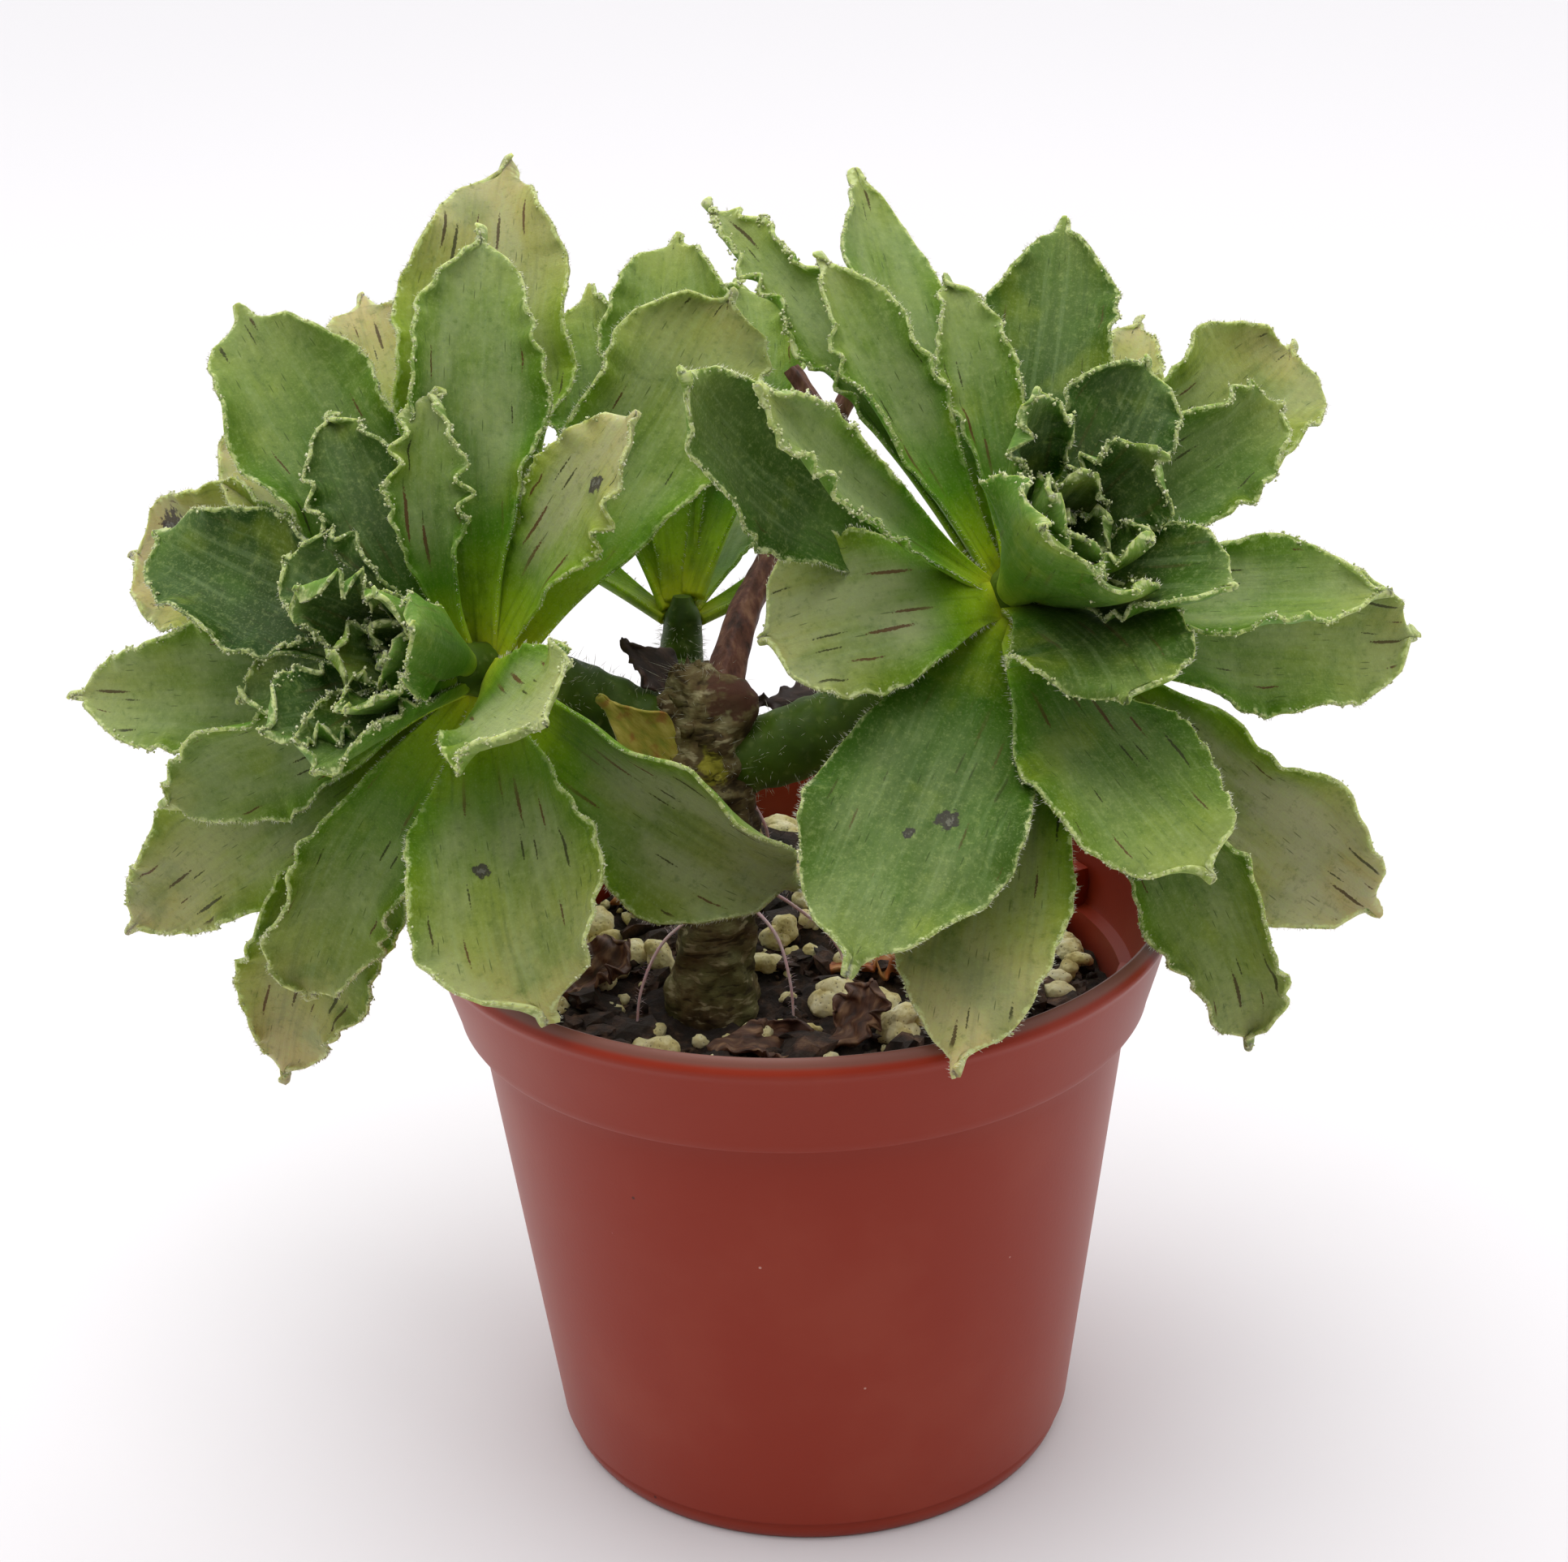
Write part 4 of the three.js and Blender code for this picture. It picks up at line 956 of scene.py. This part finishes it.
def leaf_piece(name, blade, age, bloom, materials, columns=24, spacing=0.46, thin=0.5):
    """A leaf's flesh: a grid laid on the blade's middle surface, then given its thickness."""
    rows = max(24, int(blade.length / spacing))
    bpy.ops.mesh.primitive_grid_add(x_subdivisions=columns, y_subdivisions=rows, size=2)
    leaf = named(name)
    sheet = places_of(leaf.data)
    u = (sheet[:, 1] + 1) / 2
    v = -np.sin(sheet[:, 0] * math.pi / 2)
    point, local, _ = blade.place(u, v)
    move_to(leaf.data, point * MM)
    body = blade.width * (0.135 - 0.075 * ease(0, 0.5, u))
    thick = thin + np.maximum(0, np.maximum(0.9, body) - thin) * (1 - v * v)
    most = thick.max()
    group = leaf.vertex_groups.new(name="flesh")
    for k, share in enumerate(thick / most):
        group.add((k,), float(share), "REPLACE")
    add_values(leaf.data, "along", u)
    add_values(leaf.data, "edge", np.abs(v))
    add_values(leaf.data, "age", np.full(len(u), age))
    add_values(leaf.data, "bloom", np.full(len(u), bloom))
    spots = leaf.data.attributes.new("blade_mm", "FLOAT_VECTOR", "POINT")
    across_mm, along_mm = v * blade.half_width(u), u * blade.length
    number = np.full(len(u), NUMBER_STEP * blade.number)
    spots.data.foreach_set("vector", np.stack([across_mm, along_mm, number], axis=1).ravel())
    add_values(leaf.data, "rim_mm", (1 - np.abs(v)) * blade.half_width(u))
    for material in materials:
        leaf.data.materials.append(material)
    flesh = leaf.modifiers.new("flesh", "SOLIDIFY")
    flesh.thickness, flesh.offset, flesh.vertex_group = most * MM, 0, "flesh"
    flesh.use_rim, flesh.material_offset, flesh.material_offset_rim = True, 1, 0
    bpy.ops.object.modifier_apply(modifier="flesh")
    leaf.data.polygons.foreach_set("use_smooth", [True] * len(leaf.data.polygons))
    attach(leaf, "root")
    return leaf


# Corky scars: leaf number, millimetres across and along from its foot, radius in millimetres.
SCARS = [
    (219, 4.0, 34.0, 1.6), (219, 0.0, 37.0, 0.9), (134, -3.2, 27.0, 1.1), (137, -2.0, 28.0, 1.3),
    (128, -4.0, 60.0, 3.6),
]


def leaf_skin(name, upper):
    """The skin of a leaf: waxy and finely hairy, so it is matt with a faint pale sheen.

    It runs from yellow-green at the foot to grey-green and then, on old leaves, tan at the tip.
    The bright yellow at the foot is partly the leaf's own paler base and partly a painted glow of
    light shining through the thin flesh.
    Short red-brown streaks of tannin run lengthwise, and the margin is cream.
    """
    made = blank_material(name)
    along, edge, age, bloom, rim = (
        node(made, "Attribute", out="Fac", attribute_name=value)
        for value in ("along", "edge", "age", "bloom", "rim_mm")
    )
    spot = node(made, "Attribute", out="Vector", attribute_name="blade_mm")
    here = node(made, "TexCoord", out="Object")
    # The first stops of each ramp, bright yellow at the foot, hold a painted glow of light through
    # the leaf as well as its own paler green.
    if upper:
        young = [(0, "#8fa81a"), (0.18, "#36580a"), (0.5, "#1c3806"), (0.85, "#2b4a0f"),
                 (1, "#5c7630")]
        grown = [(0, "#bdc61c"), (0.12, "#8bab10"), (0.27, "#4e7c08"), (0.55, "#4a6e0d"),
                 (0.8, "#6a8422"), (1, "#8f9444")]
        old = [(0, "#c0ca22"), (0.13, "#94ae14"), (0.36, "#688c0e"), (0.6, "#7f9226"),
               (0.84, "#a39752"), (1, "#baa376")]
    else:
        young = [(0, "#86a020"), (0.25, "#4a7614"), (0.7, "#456e15"), (1, "#668638")]
        grown = [(0, "#a5b81f"), (0.2, "#74a015"), (0.55, "#528612"), (0.85, "#6f9433"),
                 (1, "#8b9a55")]
        old = [(0, "#a9bb24"), (0.3, "#7d9c20"), (0.7, "#84933a"), (1, "#a1956a")]
    young, grown, old = (
        node(made, "ValToRGB", [along], stops=stops) for stops in (young, grown, old)
    )
    green = stain(made, young, grown, (age, 0, 0.5))
    green = stain(made, green, old, (age, 0.5, 1))
    # Patches of deeper and yellower green, and the long grain of the veins.
    patch = node(made, "TexNoise", {"Vector": spot, "Scale": 1 / 9, "Detail": 3})
    green = stain(made, green, "#3d6207", (patch, 0.5, 0.68, 0, 0.5))
    green = stain(made, green, "#8a9a26", (patch, 0.46, 0.28, 0, 0.35))
    lengthwise = node(made, "Mapping", {"Vector": spot, "Scale": (1.1, 0.07, 1)})
    veins = node(made, "TexNoise", {"Vector": lengthwise, "Scale": 1, "Detail": 3})
    green = stain(made, green, "#274706" if upper else "#3f6a10", (veins, 0.5, 0.72, 0, 0.3))
    green = stain(made, green, "#8fa570", (veins, 0.5, 0.3), (along, 0.2, 0.5), (rim, 1, 4),
                  0.2 if upper else 0.12)
    # Bloom: grey-white wax in lengthwise smears, rubbed off beside the margin except at the end.
    smear = node(made, "Mapping", {"Vector": spot, "Scale": (0.16, 0.07, 1)})
    wax = node(made, "TexNoise", {"Vector": smear, "Scale": 1, "Detail": 4, "Roughness": 0.55})
    kept = node(made, "Math", [
        coverage(made, (edge, 0.95, 0.45)), coverage(made, (along, 0.62, 0.85)),
    ], operation="MAXIMUM")
    waxed = stain(made, "#8d9c66", "#aba884", (age, 0.55, 1))
    green = stain(made, green, waxed, (wax, 0.34, 0.62, 0.25, 0.85 if upper else 0.3), kept,
                  (along, 0.25, 0.5), bloom)
    # The short felt of hairs shows as fine pale and dark mottling.
    powder = node(made, "TexNoise", {"Vector": spot, "Scale": 0.95, "Detail": 4, "Roughness": 0.68})
    green = stain(made, green, "#a1b06c", (powder, 0.5, 0.72, 0, 0.26), (along, 0.3, 0.6, 0.4, 1))
    green = stain(made, green, "#2f520a", (powder, 0.48, 0.28, 0, 0.34))
    fuzz = node(made, "TexNoise", {"Vector": spot, "Scale": 3.2, "Detail": 2})
    green = stain(made, green, "#abb972", (fuzz, 0.52, 0.75, 0, 0.18))
    # Tannin: red-brown streaks, 2 to 7 mm long and up to 0.6 mm wide, on the outer part of the
    # blade, and many faint short flecks between them. The young leaves have hardly any.
    wobble = node(made, "TexNoise", {"Vector": spot, "Scale": 0.1, "Detail": 1}, "Color")
    bent = node(made, "VectorMath", [spot, wobble], operation="ADD")
    cells = node(made, "Mapping", {"Vector": bent, "Scale": (0.52, 0.042, 1)})
    dash = node(made, "TexVoronoi", {"Vector": cells, "Scale": 1}, voronoi_dimensions="2D")
    pick = node(made, "SeparateColor", [dash.node.outputs["Color"]])
    reach = node(made, "Math", [
        coverage(made, (pick, 0.1, 1), 0.15), coverage(made, (fuzz, 0.3, 0.7, -0.03, 0.03)),
    ], operation="ADD")
    inside = node(made, "Math", [reach, dash], operation="SUBTRACT")
    tannin = stain(made, "#2c2a10", "#552c1b", (pick.node.outputs["Green"], 0.35, 0.65))
    green = stain(made, green, tannin, (inside, 0, 0.04), (along, 0.22, 0.45), (rim, 0.7, 1.4),
                  (age, 0.05, 0.35, 0.2, 0.85))
    cells = node(made, "Mapping", {"Vector": bent, "Scale": (1.25, 0.13, 1), "Location": (5, 3, 0)})
    fleck = node(made, "TexVoronoi", {"Vector": cells, "Scale": 1}, voronoi_dimensions="2D")
    pick = node(made, "SeparateColor", [fleck.node.outputs["Color"]])
    reach = coverage(made, (pick, 0.45, 1), 0.13)
    inside = node(made, "Math", [reach, fleck], operation="SUBTRACT")
    green = stain(made, green, "#2a3a10", (inside, 0, 0.05), (along, 0.25, 0.5, 0, 0.55),
                  (rim, 1, 2.5))
    for number, across_mm, along_mm, radius in SCARS:
        centre = (across_mm, along_mm, number * NUMBER_STEP)
        away = node(made, "VectorMath", [spot, centre], "Value", operation="DISTANCE")
        corky = coverage(made, (powder, 0.3, 0.7, -0.35 * radius, 0.35 * radius))
        away = node(made, "Math", [away, corky], operation="ADD")
        green = stain(made, green, "#3d3634", (away, radius, 0.75 * radius, 0, 0.9))
        green = stain(made, green, "#77786a", (away, 0.45 * radius, 0.25 * radius, 0, 0.6))
    # The margin pales to a ragged line of cream over its last half millimetre.
    ragged = coverage(made, (powder, 0.3, 0.7, 0.35, -0.35))
    ragged = node(made, "Math", [rim, ragged], operation="ADD")
    beads = node(made, "TexNoise", {"Vector": here, "Scale": 1 / (0.9 * MM), "Detail": 2})
    green = stain(made, green, "#bcc48c", (ragged, 0.5, 0.05), (along, 0.2, 0.6, 0.05, 0.8),
                  (beads, 0.42, 0.58, 0.25, 1))
    relief = node(made, "Bump", {"Height": veins, "Strength": 0.4, "Distance": 0.4 * MM})
    relief = node(made, "Bump", {
        "Height": fuzz, "Strength": 0.4, "Distance": 0.12 * MM, "Normal": relief,
    })
    finish_surface(made, green, relief, roughness=0.5, ior=1.38, specular_ior_level=0.16,
                   subsurface_weight=0.55, subsurface_radius=(0.8, 1.0, 0.15),
                   subsurface_scale=2.0 * MM, sheen_weight=0.03, sheen_tint="#d3e0b0")
    return made


leaf_upper = leaf_skin("leaf_upper_skin", True)
leaf_under = leaf_skin("leaf_under_skin", False)
# The very edge and its fringe: tiny swollen hairs, cream and slightly clear.
leaf_edge = blank_material("leaf_margin")
here = node(leaf_edge, "TexCoord", out="Object")
bead = node(leaf_edge, "TexNoise", {
    "Vector": here, "Scale": 1 / MM, "Detail": 4, "Roughness": 0.7,
})
rimmed = node(leaf_edge, "ValToRGB", [bead], stops=[
    (0.32, "#8a9c58"), (0.45, "#b0ba7c"), (0.56, "#cfd3a4"), (0.68, "#eeedce"),
])
finish_surface(leaf_edge, rimmed, roughness=0.5, specular_ior_level=0.3, subsurface_weight=0.25,
               subsurface_radius=(1.0, 1.0, 0.6), subsurface_scale=0.5 * MM)
LEAF_MATERIALS = (leaf_upper, leaf_under, leaf_edge)

# Millimetres of margin for each granule, and the share of a leaf's length where its fringe starts.
GRANULE_SPACING, FRINGE_START = 0.115, 0.05


def fringe_of(blade, pick):
    """Granules and hairs along both margins of a leaf, as feet, tips and radii."""
    granules, hairs = [], []
    for side in (-1.0, 1.0):
        # Swollen hairs sit in clumps, in a crust that is broad and thick toward the outer end.
        number = int(blade.length * 1.1 / GRANULE_SPACING)
        u = FRINGE_START + (1 - FRINGE_START) * pick.random(number) ** 0.75
        run = u * blade.length
        beat = blade.phase + 2 * side
        clump = 0.5 + 0.5 * np.sin(run * 4.7 + beat + 2.6 * np.sin(run * 1.9 + beat))
        clump = clump ** 1.6
        thick = ease(0.25, 0.6, u) * (0.35 + 0.65 * clump) * min(1.0, 0.3 + 0.7 * blade.crisp)
        kept = pick.random(number) < 0.15 + 1.1 * thick
        u, clump, thick = u[kept], clump[kept], thick[kept]
        number = len(u)
        inward = pick.random(number) ** 1.8 * (0.12 + 1.1 * thick) / blade.half_width(u)
        point, local, outward = blade.place(u, side * (1 - np.minimum(inward, 0.6)))
        spread = np.clip(pick.normal(0, 1, number), -1.8, 1.8) * (0.12 + 0.24 * thick)
        point = point + local * spread[:, None]
        point = point + outward * (pick.random(number) * 0.5 * thick * clump)[:, None]
        way = outward * 0.5 + pick.normal(0, 0.6, (number, 3))
        way /= np.linalg.norm(way, axis=1)[:, None]
        size = (0.11 + 0.12 * thick) * (0.6 + 0.8 * pick.random(number))
        granules.append((point - way * size[:, None], point + way * (1.1 * size)[:, None], size))
        number = int(blade.length * 6 / (1 + blade.crisp))
        u = FRINGE_START + (1 - FRINGE_START) * pick.random(number)
        point, local, outward = blade.place(u, np.full(number, side))
        way = outward + pick.normal(0, 0.3, (number, 3))
        long = 0.3 + 0.35 * pick.random(number)
        hairs.append((point - outward * 0.1, point + way * long[:, None], np.full(number, 0.025)))
    return granules, hairs


def build_rosette(place, rows, looks):
    """A rosette's leaves, and the granules and hairs of their margins as one piece each."""
    pick = np.random.default_rng(place["seed"])
    granules, hairs = [], []
    for index, (row, (age, bloom, crisp)) in enumerate(zip(rows, looks)):
        blade = leaf_from_row(place, row, index + place["seed"], crisp)
        leaf = leaf_piece(f"{place['name']}_leaf_{index + 1:02d}", blade, age, bloom,
                          LEAF_MATERIALS, columns=24 if blade.width > 12 else 16)
        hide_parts(f"{place['name']}_rosette")
        more_granules, more_hairs = fringe_of(blade, pick)
        granules += more_granules
        hairs += more_hairs
    for name, parts, material in (("granules", granules, leaf_edge), ("fringe_hairs", hairs, hair)):
        feet, tips, radii = (np.concatenate([p[k] for p in parts]) for k in range(3))
        piece = spindles(f"{place['name']}_{name}", feet, tips, radii, material, 0.5)
        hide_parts(f"{place['name']}_rosette")


# For each leaf in turn: how far it has aged, from deep green at 0 to tan at 1, how much grey bloom
# it keeps, and how crisped its margin is. The heart's young leaves come last. Some ages and blooms
# also paint light and shade: leaves that face down into shadow were made older and bloomier, so
# paler, as painted light, and a front leaf in full light younger and darker, as painted shade.
HEART_LOOKS = [
    (0, 0.15, 1.4), (0, 0.15, 0.8), (0.05, 0.15, 1.4), (0.1, 0.15, 1.3), *[(0.1, 0.15, 1.2)] * 5,
]
build_rosette(LEFT, LEFT_LEAVES + heart_rows(len(HEART_LOOKS), 150), [
    (0.85, 0.65, 0.25), (0.5, 0.95, 0.45), (0.38, 0.4, 0.2), (0.95, 0.7, 0.25), (0.9, 0.4, 0.25),
    (1.0, 0.5, 0.35), (0.65, 0.75, 0.5), (0.6, 0.8, 0.55), (0.85, 0.6, 0.6), (0.65, 0.6, 0.5),
    (0.95, 0.45, 0.5), (0.75, 0.65, 0.35), (0.7, 1.0, 0.1), (0.7, 0.85, 0.95), (0.85, 0.8, 0.9),
    (0.7, 0.5, 0.4), (0.05, 0.1, 0.5), (0.1, 0.2, 1.1), (0.4, 0.75, 1.2), (0, 0.2, 0.9),
    (0.1, 0.1, 1.0), (0.1, 0.3, 1.1), *HEART_LOOKS,
])
build_rosette(RIGHT, RIGHT_LEAVES + heart_rows(len(HEART_LOOKS), 20), [
    (0.6, 0.8, 1.0), (0.5, 0.8, 0.5), (0.55, 0.7, 0.2), (0.45, 0.7, 0.6), (0.2, 0.15, 0.35),
    (0.85, 0.9, 0.5), (0.75, 0.55, 0.35), (0.3, 0.35, 0.6), (0.5, 0.9, 0.45), (0.65, 0.6, 0.4),
    (0.15, 0.1, 0.6), (0.72, 1.0, 0.5), (0.15, 0.2, 0.4), (0.5, 0.85, 0.9), (0.2, 0.45, 0.2),
    (0.9, 0.5, 0.35), (0.35, 0.4, 0.45), (0.95, 1.0, 0.25), (0.65, 0.6, 0.4), (0.05, 0.15, 0.6),
    (0.1, 0.1, 0.9), (0.1, 0.1, 0.5), *HEART_LOOKS,
])
build_rosette(CENTRE, CENTRE_LEAVES, [
    (0.5, 0.4, 0.4), (0.45, 0.3, 0.5), (0.5, 0.4, 0.7), (0.7, 0.5, 0.5), (0.7, 0.5, 0.4),
    (0.7, 0.5, 0.4),
])

# ---- Dried flower stalk ----
# Last year's flower stalk, dried hard where its flowers were broken off: brown, wrinkled
# lengthwise, forked in two short stubs, rising from a reddish knob on the stem.
dry_stalk = blank_material("dried_stalk")
here = node(dry_stalk, "TexCoord", out="Object")
upright = node(dry_stalk, "Mapping", {"Vector": here, "Scale": (1, 1, 0.2)})
fibres = node(dry_stalk, "TexNoise", {
    "Vector": upright, "Scale": 1 / (1.6 * MM), "Detail": 4, "Roughness": 0.65,
})
husk = node(dry_stalk, "ValToRGB", [fibres], stops=[
    (0.3, "#35190f"), (0.5, "#62382a"), (0.7, "#8a6049"),
])
folds = node(dry_stalk, "TexNoise", {
    "Vector": upright, "Scale": 1 / (0.8 * MM), "Detail": 3, "Roughness": 0.55,
})
wrinkled = node(dry_stalk, "Bump", {"Height": folds, "Strength": 0.7, "Distance": 0.3 * MM})
finish_surface(dry_stalk, husk, wrinkled, roughness=0.65)


def stalk_relief(t, turn, place):
    return 0.16 * math.sin(5 * turn + 3 * t) + 0.25 * noise.noise(Vector(place) * 0.45)


for name, path, radii in (
    ("stalk_stem", [(-9.4, 3.6, 107), (-5.9, 9.8, 116.1), (-2.5, 14.1, 121.3), (3.4, 21, 132.6),
                    (7.4, 24.3, 138)], [2.6, 2, 1.8, 1.7, 1.5]),
    ("stalk_right_stub", [(6.8, 23.9, 137), (10.3, 26.5, 143.2)], [1.3, 1.1]),
    ("stalk_left_stub", [(6.2, 23.4, 136), (3.2, 26, 140.6), (1.1, 27.8, 143.7)], [1.3, 1.2, 1]),
):
    stub = stem_piece(name, path, radii, 28, 60, dry_stalk, stalk_relief)
    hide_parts("flower_stalk")

# ---- Dead and dying leaves ----
# Old leaves dry up on the stem or fall on the soil. They are thin, crumpled and brown, or
# orange while they still have some life; one on the stem is turning yellow.
def dead_skin(name, dark, middle_tone, light, blotch):
    """Dry leaf skin: ribbed lengthwise, with blotches."""
    made = blank_material(name)
    spot = node(made, "Attribute", out="Vector", attribute_name="blade_mm")
    ribs = node(made, "Mapping", {"Vector": spot, "Scale": (0.8, 0.26, 1)})
    rib = node(made, "TexNoise", {"Vector": ribs, "Scale": 1, "Detail": 5})
    dead = node(made, "ValToRGB", [rib], stops=[(0.3, dark), (0.5, middle_tone), (0.7, light)])
    patch = node(made, "TexNoise", {"Vector": spot, "Scale": 0.3, "Detail": 3})
    dead = stain(made, dead, blotch, (patch, 0.5, 0.66, 0, 0.75))
    creased = node(made, "Bump", {"Height": rib, "Strength": 0.8, "Distance": 0.5 * MM})
    finish_surface(made, dead, creased, roughness=0.6)
    return made


dry_dark = dead_skin("dry_leaf_dark", "#1d110d", "#38231b", "#5c4034", "#25161a")
dry_brown = dead_skin("dry_leaf_brown", "#2e1912", "#64402d", "#a37c5a", "#3f2318")
dry_orange = dead_skin("dry_leaf_orange", "#7a3314", "#bb6a30", "#e0b070", "#93401a")
turning = dead_skin("dying_leaf_yellow", "#7c8a22", "#a99a34", "#c7b656", "#9a5522")


def unit(values):
    values = np.array(values, float)
    return values / np.linalg.norm(values)


# Place on the stem, the place it points to, the way its face looks, length, width, curl, roll, cup,
# how crisped it is, and the material of all its faces.
for name, start, toward, facing, length, width, curl, roll, cup, crisp, material in (
    ("dry_leaf_left", (-14.6, 5, 106), (-22.4, 7.4, 112.6), (0.5, -0.8, 0.4),
     11, 7, 10, 0, 30, 0.6, dry_dark),
    ("dying_leaf", (-15, -1.6, 97), (-24.6, -3.4, 108.5), (0.2, -0.9, 0.3),
     17, 9, 15, 10, 25, 0.2, turning),
    ("dry_leaf_right", (5, 6.9, 104.4), (-4, 7.9, 103.4), (0, -0.85, 0.5),
     10, 6, 0, 10, -30, 1.2, dry_dark),
):
    out = unit(np.subtract(toward, start))
    up = np.array(facing, float)
    up = unit(up - out * np.dot(up, out))
    blade = Blade(np.array(start, float), out, up, (0, length, width, curl, 0, roll, cup, -0.8),
                  length, crisp, 0.06)
    leaf = leaf_piece(f"{name}_blade", blade, 1, 0, (material,) * 3, 16, 0.35, 0.35)
    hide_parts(name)

# Place on the soil, heading, length, width, curl, cup.
for name, x, y, heading, length, width, curl, cup, material in (
    ("fallen_leaf_front", -12.5, -16.5, 10, 15, 11, -60, 60, dry_brown),
    ("fallen_leaf_right", 3, -16.5, 40, 12, 9, 70, 50, dry_brown),
    ("fallen_leaf_left", -33, 1, 20, 12, 10, 50, 50, dry_brown),
    ("fallen_leaf_orange_left", -27, 27, -20, 12, 9, -40, 45, dry_orange),
    ("fallen_leaf_orange_right", 4, 4, 15, 12, 9, -40, 45, dry_orange),
):
    way = math.radians(heading)
    foot = np.array([x, y, soil_height(x, y) + 0.9])
    out, up = np.array([math.cos(way), math.sin(way), 0]), np.array([0, 0, 1.0])
    blade = Blade(foot, out, up, (8, length, width, curl, 0, 12, cup, 0.5), length, 1.3, 0.09)
    leaf = leaf_piece(f"{name}_blade", blade, 1, 0, (material,) * 3, 20, 0.3, 0.3)
    crumpled = [
        p / MM + noise.noise_vector(p / MM * 0.33) * 0.9 + noise.noise_vector(p / MM * 0.8) * 0.4
        for p in map(Vector, places_of(leaf.data))
    ]
    move_to(leaf.data, np.array(crumpled) * MM)
    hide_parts(name)

# ---- Aerial roots ----
# Thread roots that the stem lets down to the soil, pink and a fraction of a millimetre thick,
# with a fur of fine root hairs near their tips.
root_skin = blank_material("aerial_root")
here = node(root_skin, "TexCoord", out="Object")
mottle = node(root_skin, "TexNoise", {
    "Vector": here, "Scale": 1 / (3 * MM), "Detail": 2, "Roughness": 0.55,
})
pink = stain(root_skin, "#e2b0ba", "#f5e0e1", mottle)
finish_surface(root_skin, pink, roughness=0.55, subsurface_weight=0.2, subsurface_scale=0.5 * MM)
for number, path in enumerate((
    [(-13, -2, 78), (-18.6, -5.2, 74.5), (-21.6, -7.8, 69), (-22.6, -8.6, 62)],
    [(-8, 1.5, 95.5), (-4.4, 4, 87), (-5.5, 18, 75), (-6.4, 27, 66)],
    [(-9, -0.6, 80), (-3.6, -4.2, 75), (-1.8, -6.2, 69), (-1.4, -6.8, 62)],
    [(-9, 0.4, 82), (-1, 2.2, 76), (4.8, 1.6, 70), (6.8, 0.2, 62)],
), start=1):
    thread = stem_piece(f"root_thread_{number}", path, [0.26, 0.23, 0.2, 0.16], 10, 50,
                        root_skin)
    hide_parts(f"aerial_root_{number}")
    feet, tips = stem_hairs(path, [0.25] * 4, 120, 0.9, 30 + number, 0.3, (0.2, 1.0))
    spindles(f"root_hairs_{number}", feet, tips, np.full(len(feet), 0.025), root_skin)

# ---- Floor, light and camera ----
# A sheet of white paper under soft light from above and all round, as in a product tent. The paper
# is coloured darker toward the camera, as painted shade.
bpy.ops.mesh.primitive_plane_add(size=6, location=(0, 0, 0))
floor = named("paper_floor")
paper = blank_material("white_paper")
depth = node(paper, "SeparateXYZ", [node(paper, "TexCoord", out="Object")], "Y")
finish_surface(paper, stain(paper, "#dddbdc", "#cfcccd", (depth, 0.02, -0.16)), roughness=0.9)
floor.data.materials.append(paper)

# The room: a bright sweep behind, above and at the sides, and the darker room behind the camera.
room = bpy.data.worlds.new("soft_room")
room.use_nodes = True
room.node_tree.nodes.clear()
toward = node(room, "SeparateXYZ", [node(room, "TexCoord", out="Generated")], "Y").node.outputs
front = coverage(room, (toward["Y"], -0.8, 0.3, 0.23, 0.95))
overhead = coverage(room, (toward["Z"], 0.2, 0.95, 0, 0.95))
glow = node(room, "Math", [front, overhead], operation="ADD")
sky = node(room, "Background", {"Color": "#f9f9fb", "Strength": glow})
node(room, "OutputWorld", {"Surface": sky})
bpy.context.scene.world = room


def soft_lamp(name, place, aim, size, power):
    lamp = bpy.data.lights.new(name, "AREA")
    lamp.shape, lamp.size, lamp.energy = "DISK", size, power
    fixture = bpy.data.objects.new(name, lamp)
    fixture.location = place
    fixture.rotation_euler = (Vector(aim) - Vector(place)).to_track_quat("-Z", "Y").to_euler()
    bpy.context.scene.collection.objects.link(fixture)


soft_lamp("top_light", (-0.15, -0.1, 1.3), (0, 0, 0.1), 0.9, 6.0)

eye = bpy.data.cameras.new("camera")
eye.lens, eye.sensor_width, eye.sensor_fit = 63.354, 36.0, "HORIZONTAL"
eye.clip_start, eye.clip_end = 0.02, 20
tripod = bpy.data.objects.new("camera", eye)
# It looks down and is rolled by so many radians, and stands so many millimetres from its aim.
down, tilt, away, aim = 0.394363, -0.032803, 364.832, (-1.697, 0, 95.212)
facing = Vector((0, math.cos(down), -math.sin(down)))
right = Vector((1, 0, 0))
above = Vector((0, math.sin(down), math.cos(down)))
across = right * math.cos(tilt) + above * math.sin(tilt)
upward = above * math.cos(tilt) - right * math.sin(tilt)
spot = (Vector(aim) - facing * away) * MM
tripod.matrix_world = Matrix((
    (across.x, upward.x, -facing.x, spot.x),
    (across.y, upward.y, -facing.y, spot.y),
    (across.z, upward.z, -facing.z, spot.z),
    (0, 0, 0, 1),
))
bpy.context.scene.collection.objects.link(tripod)
bpy.context.scene.camera = tripod
bpy.context.scene.view_settings.view_transform = "Standard"
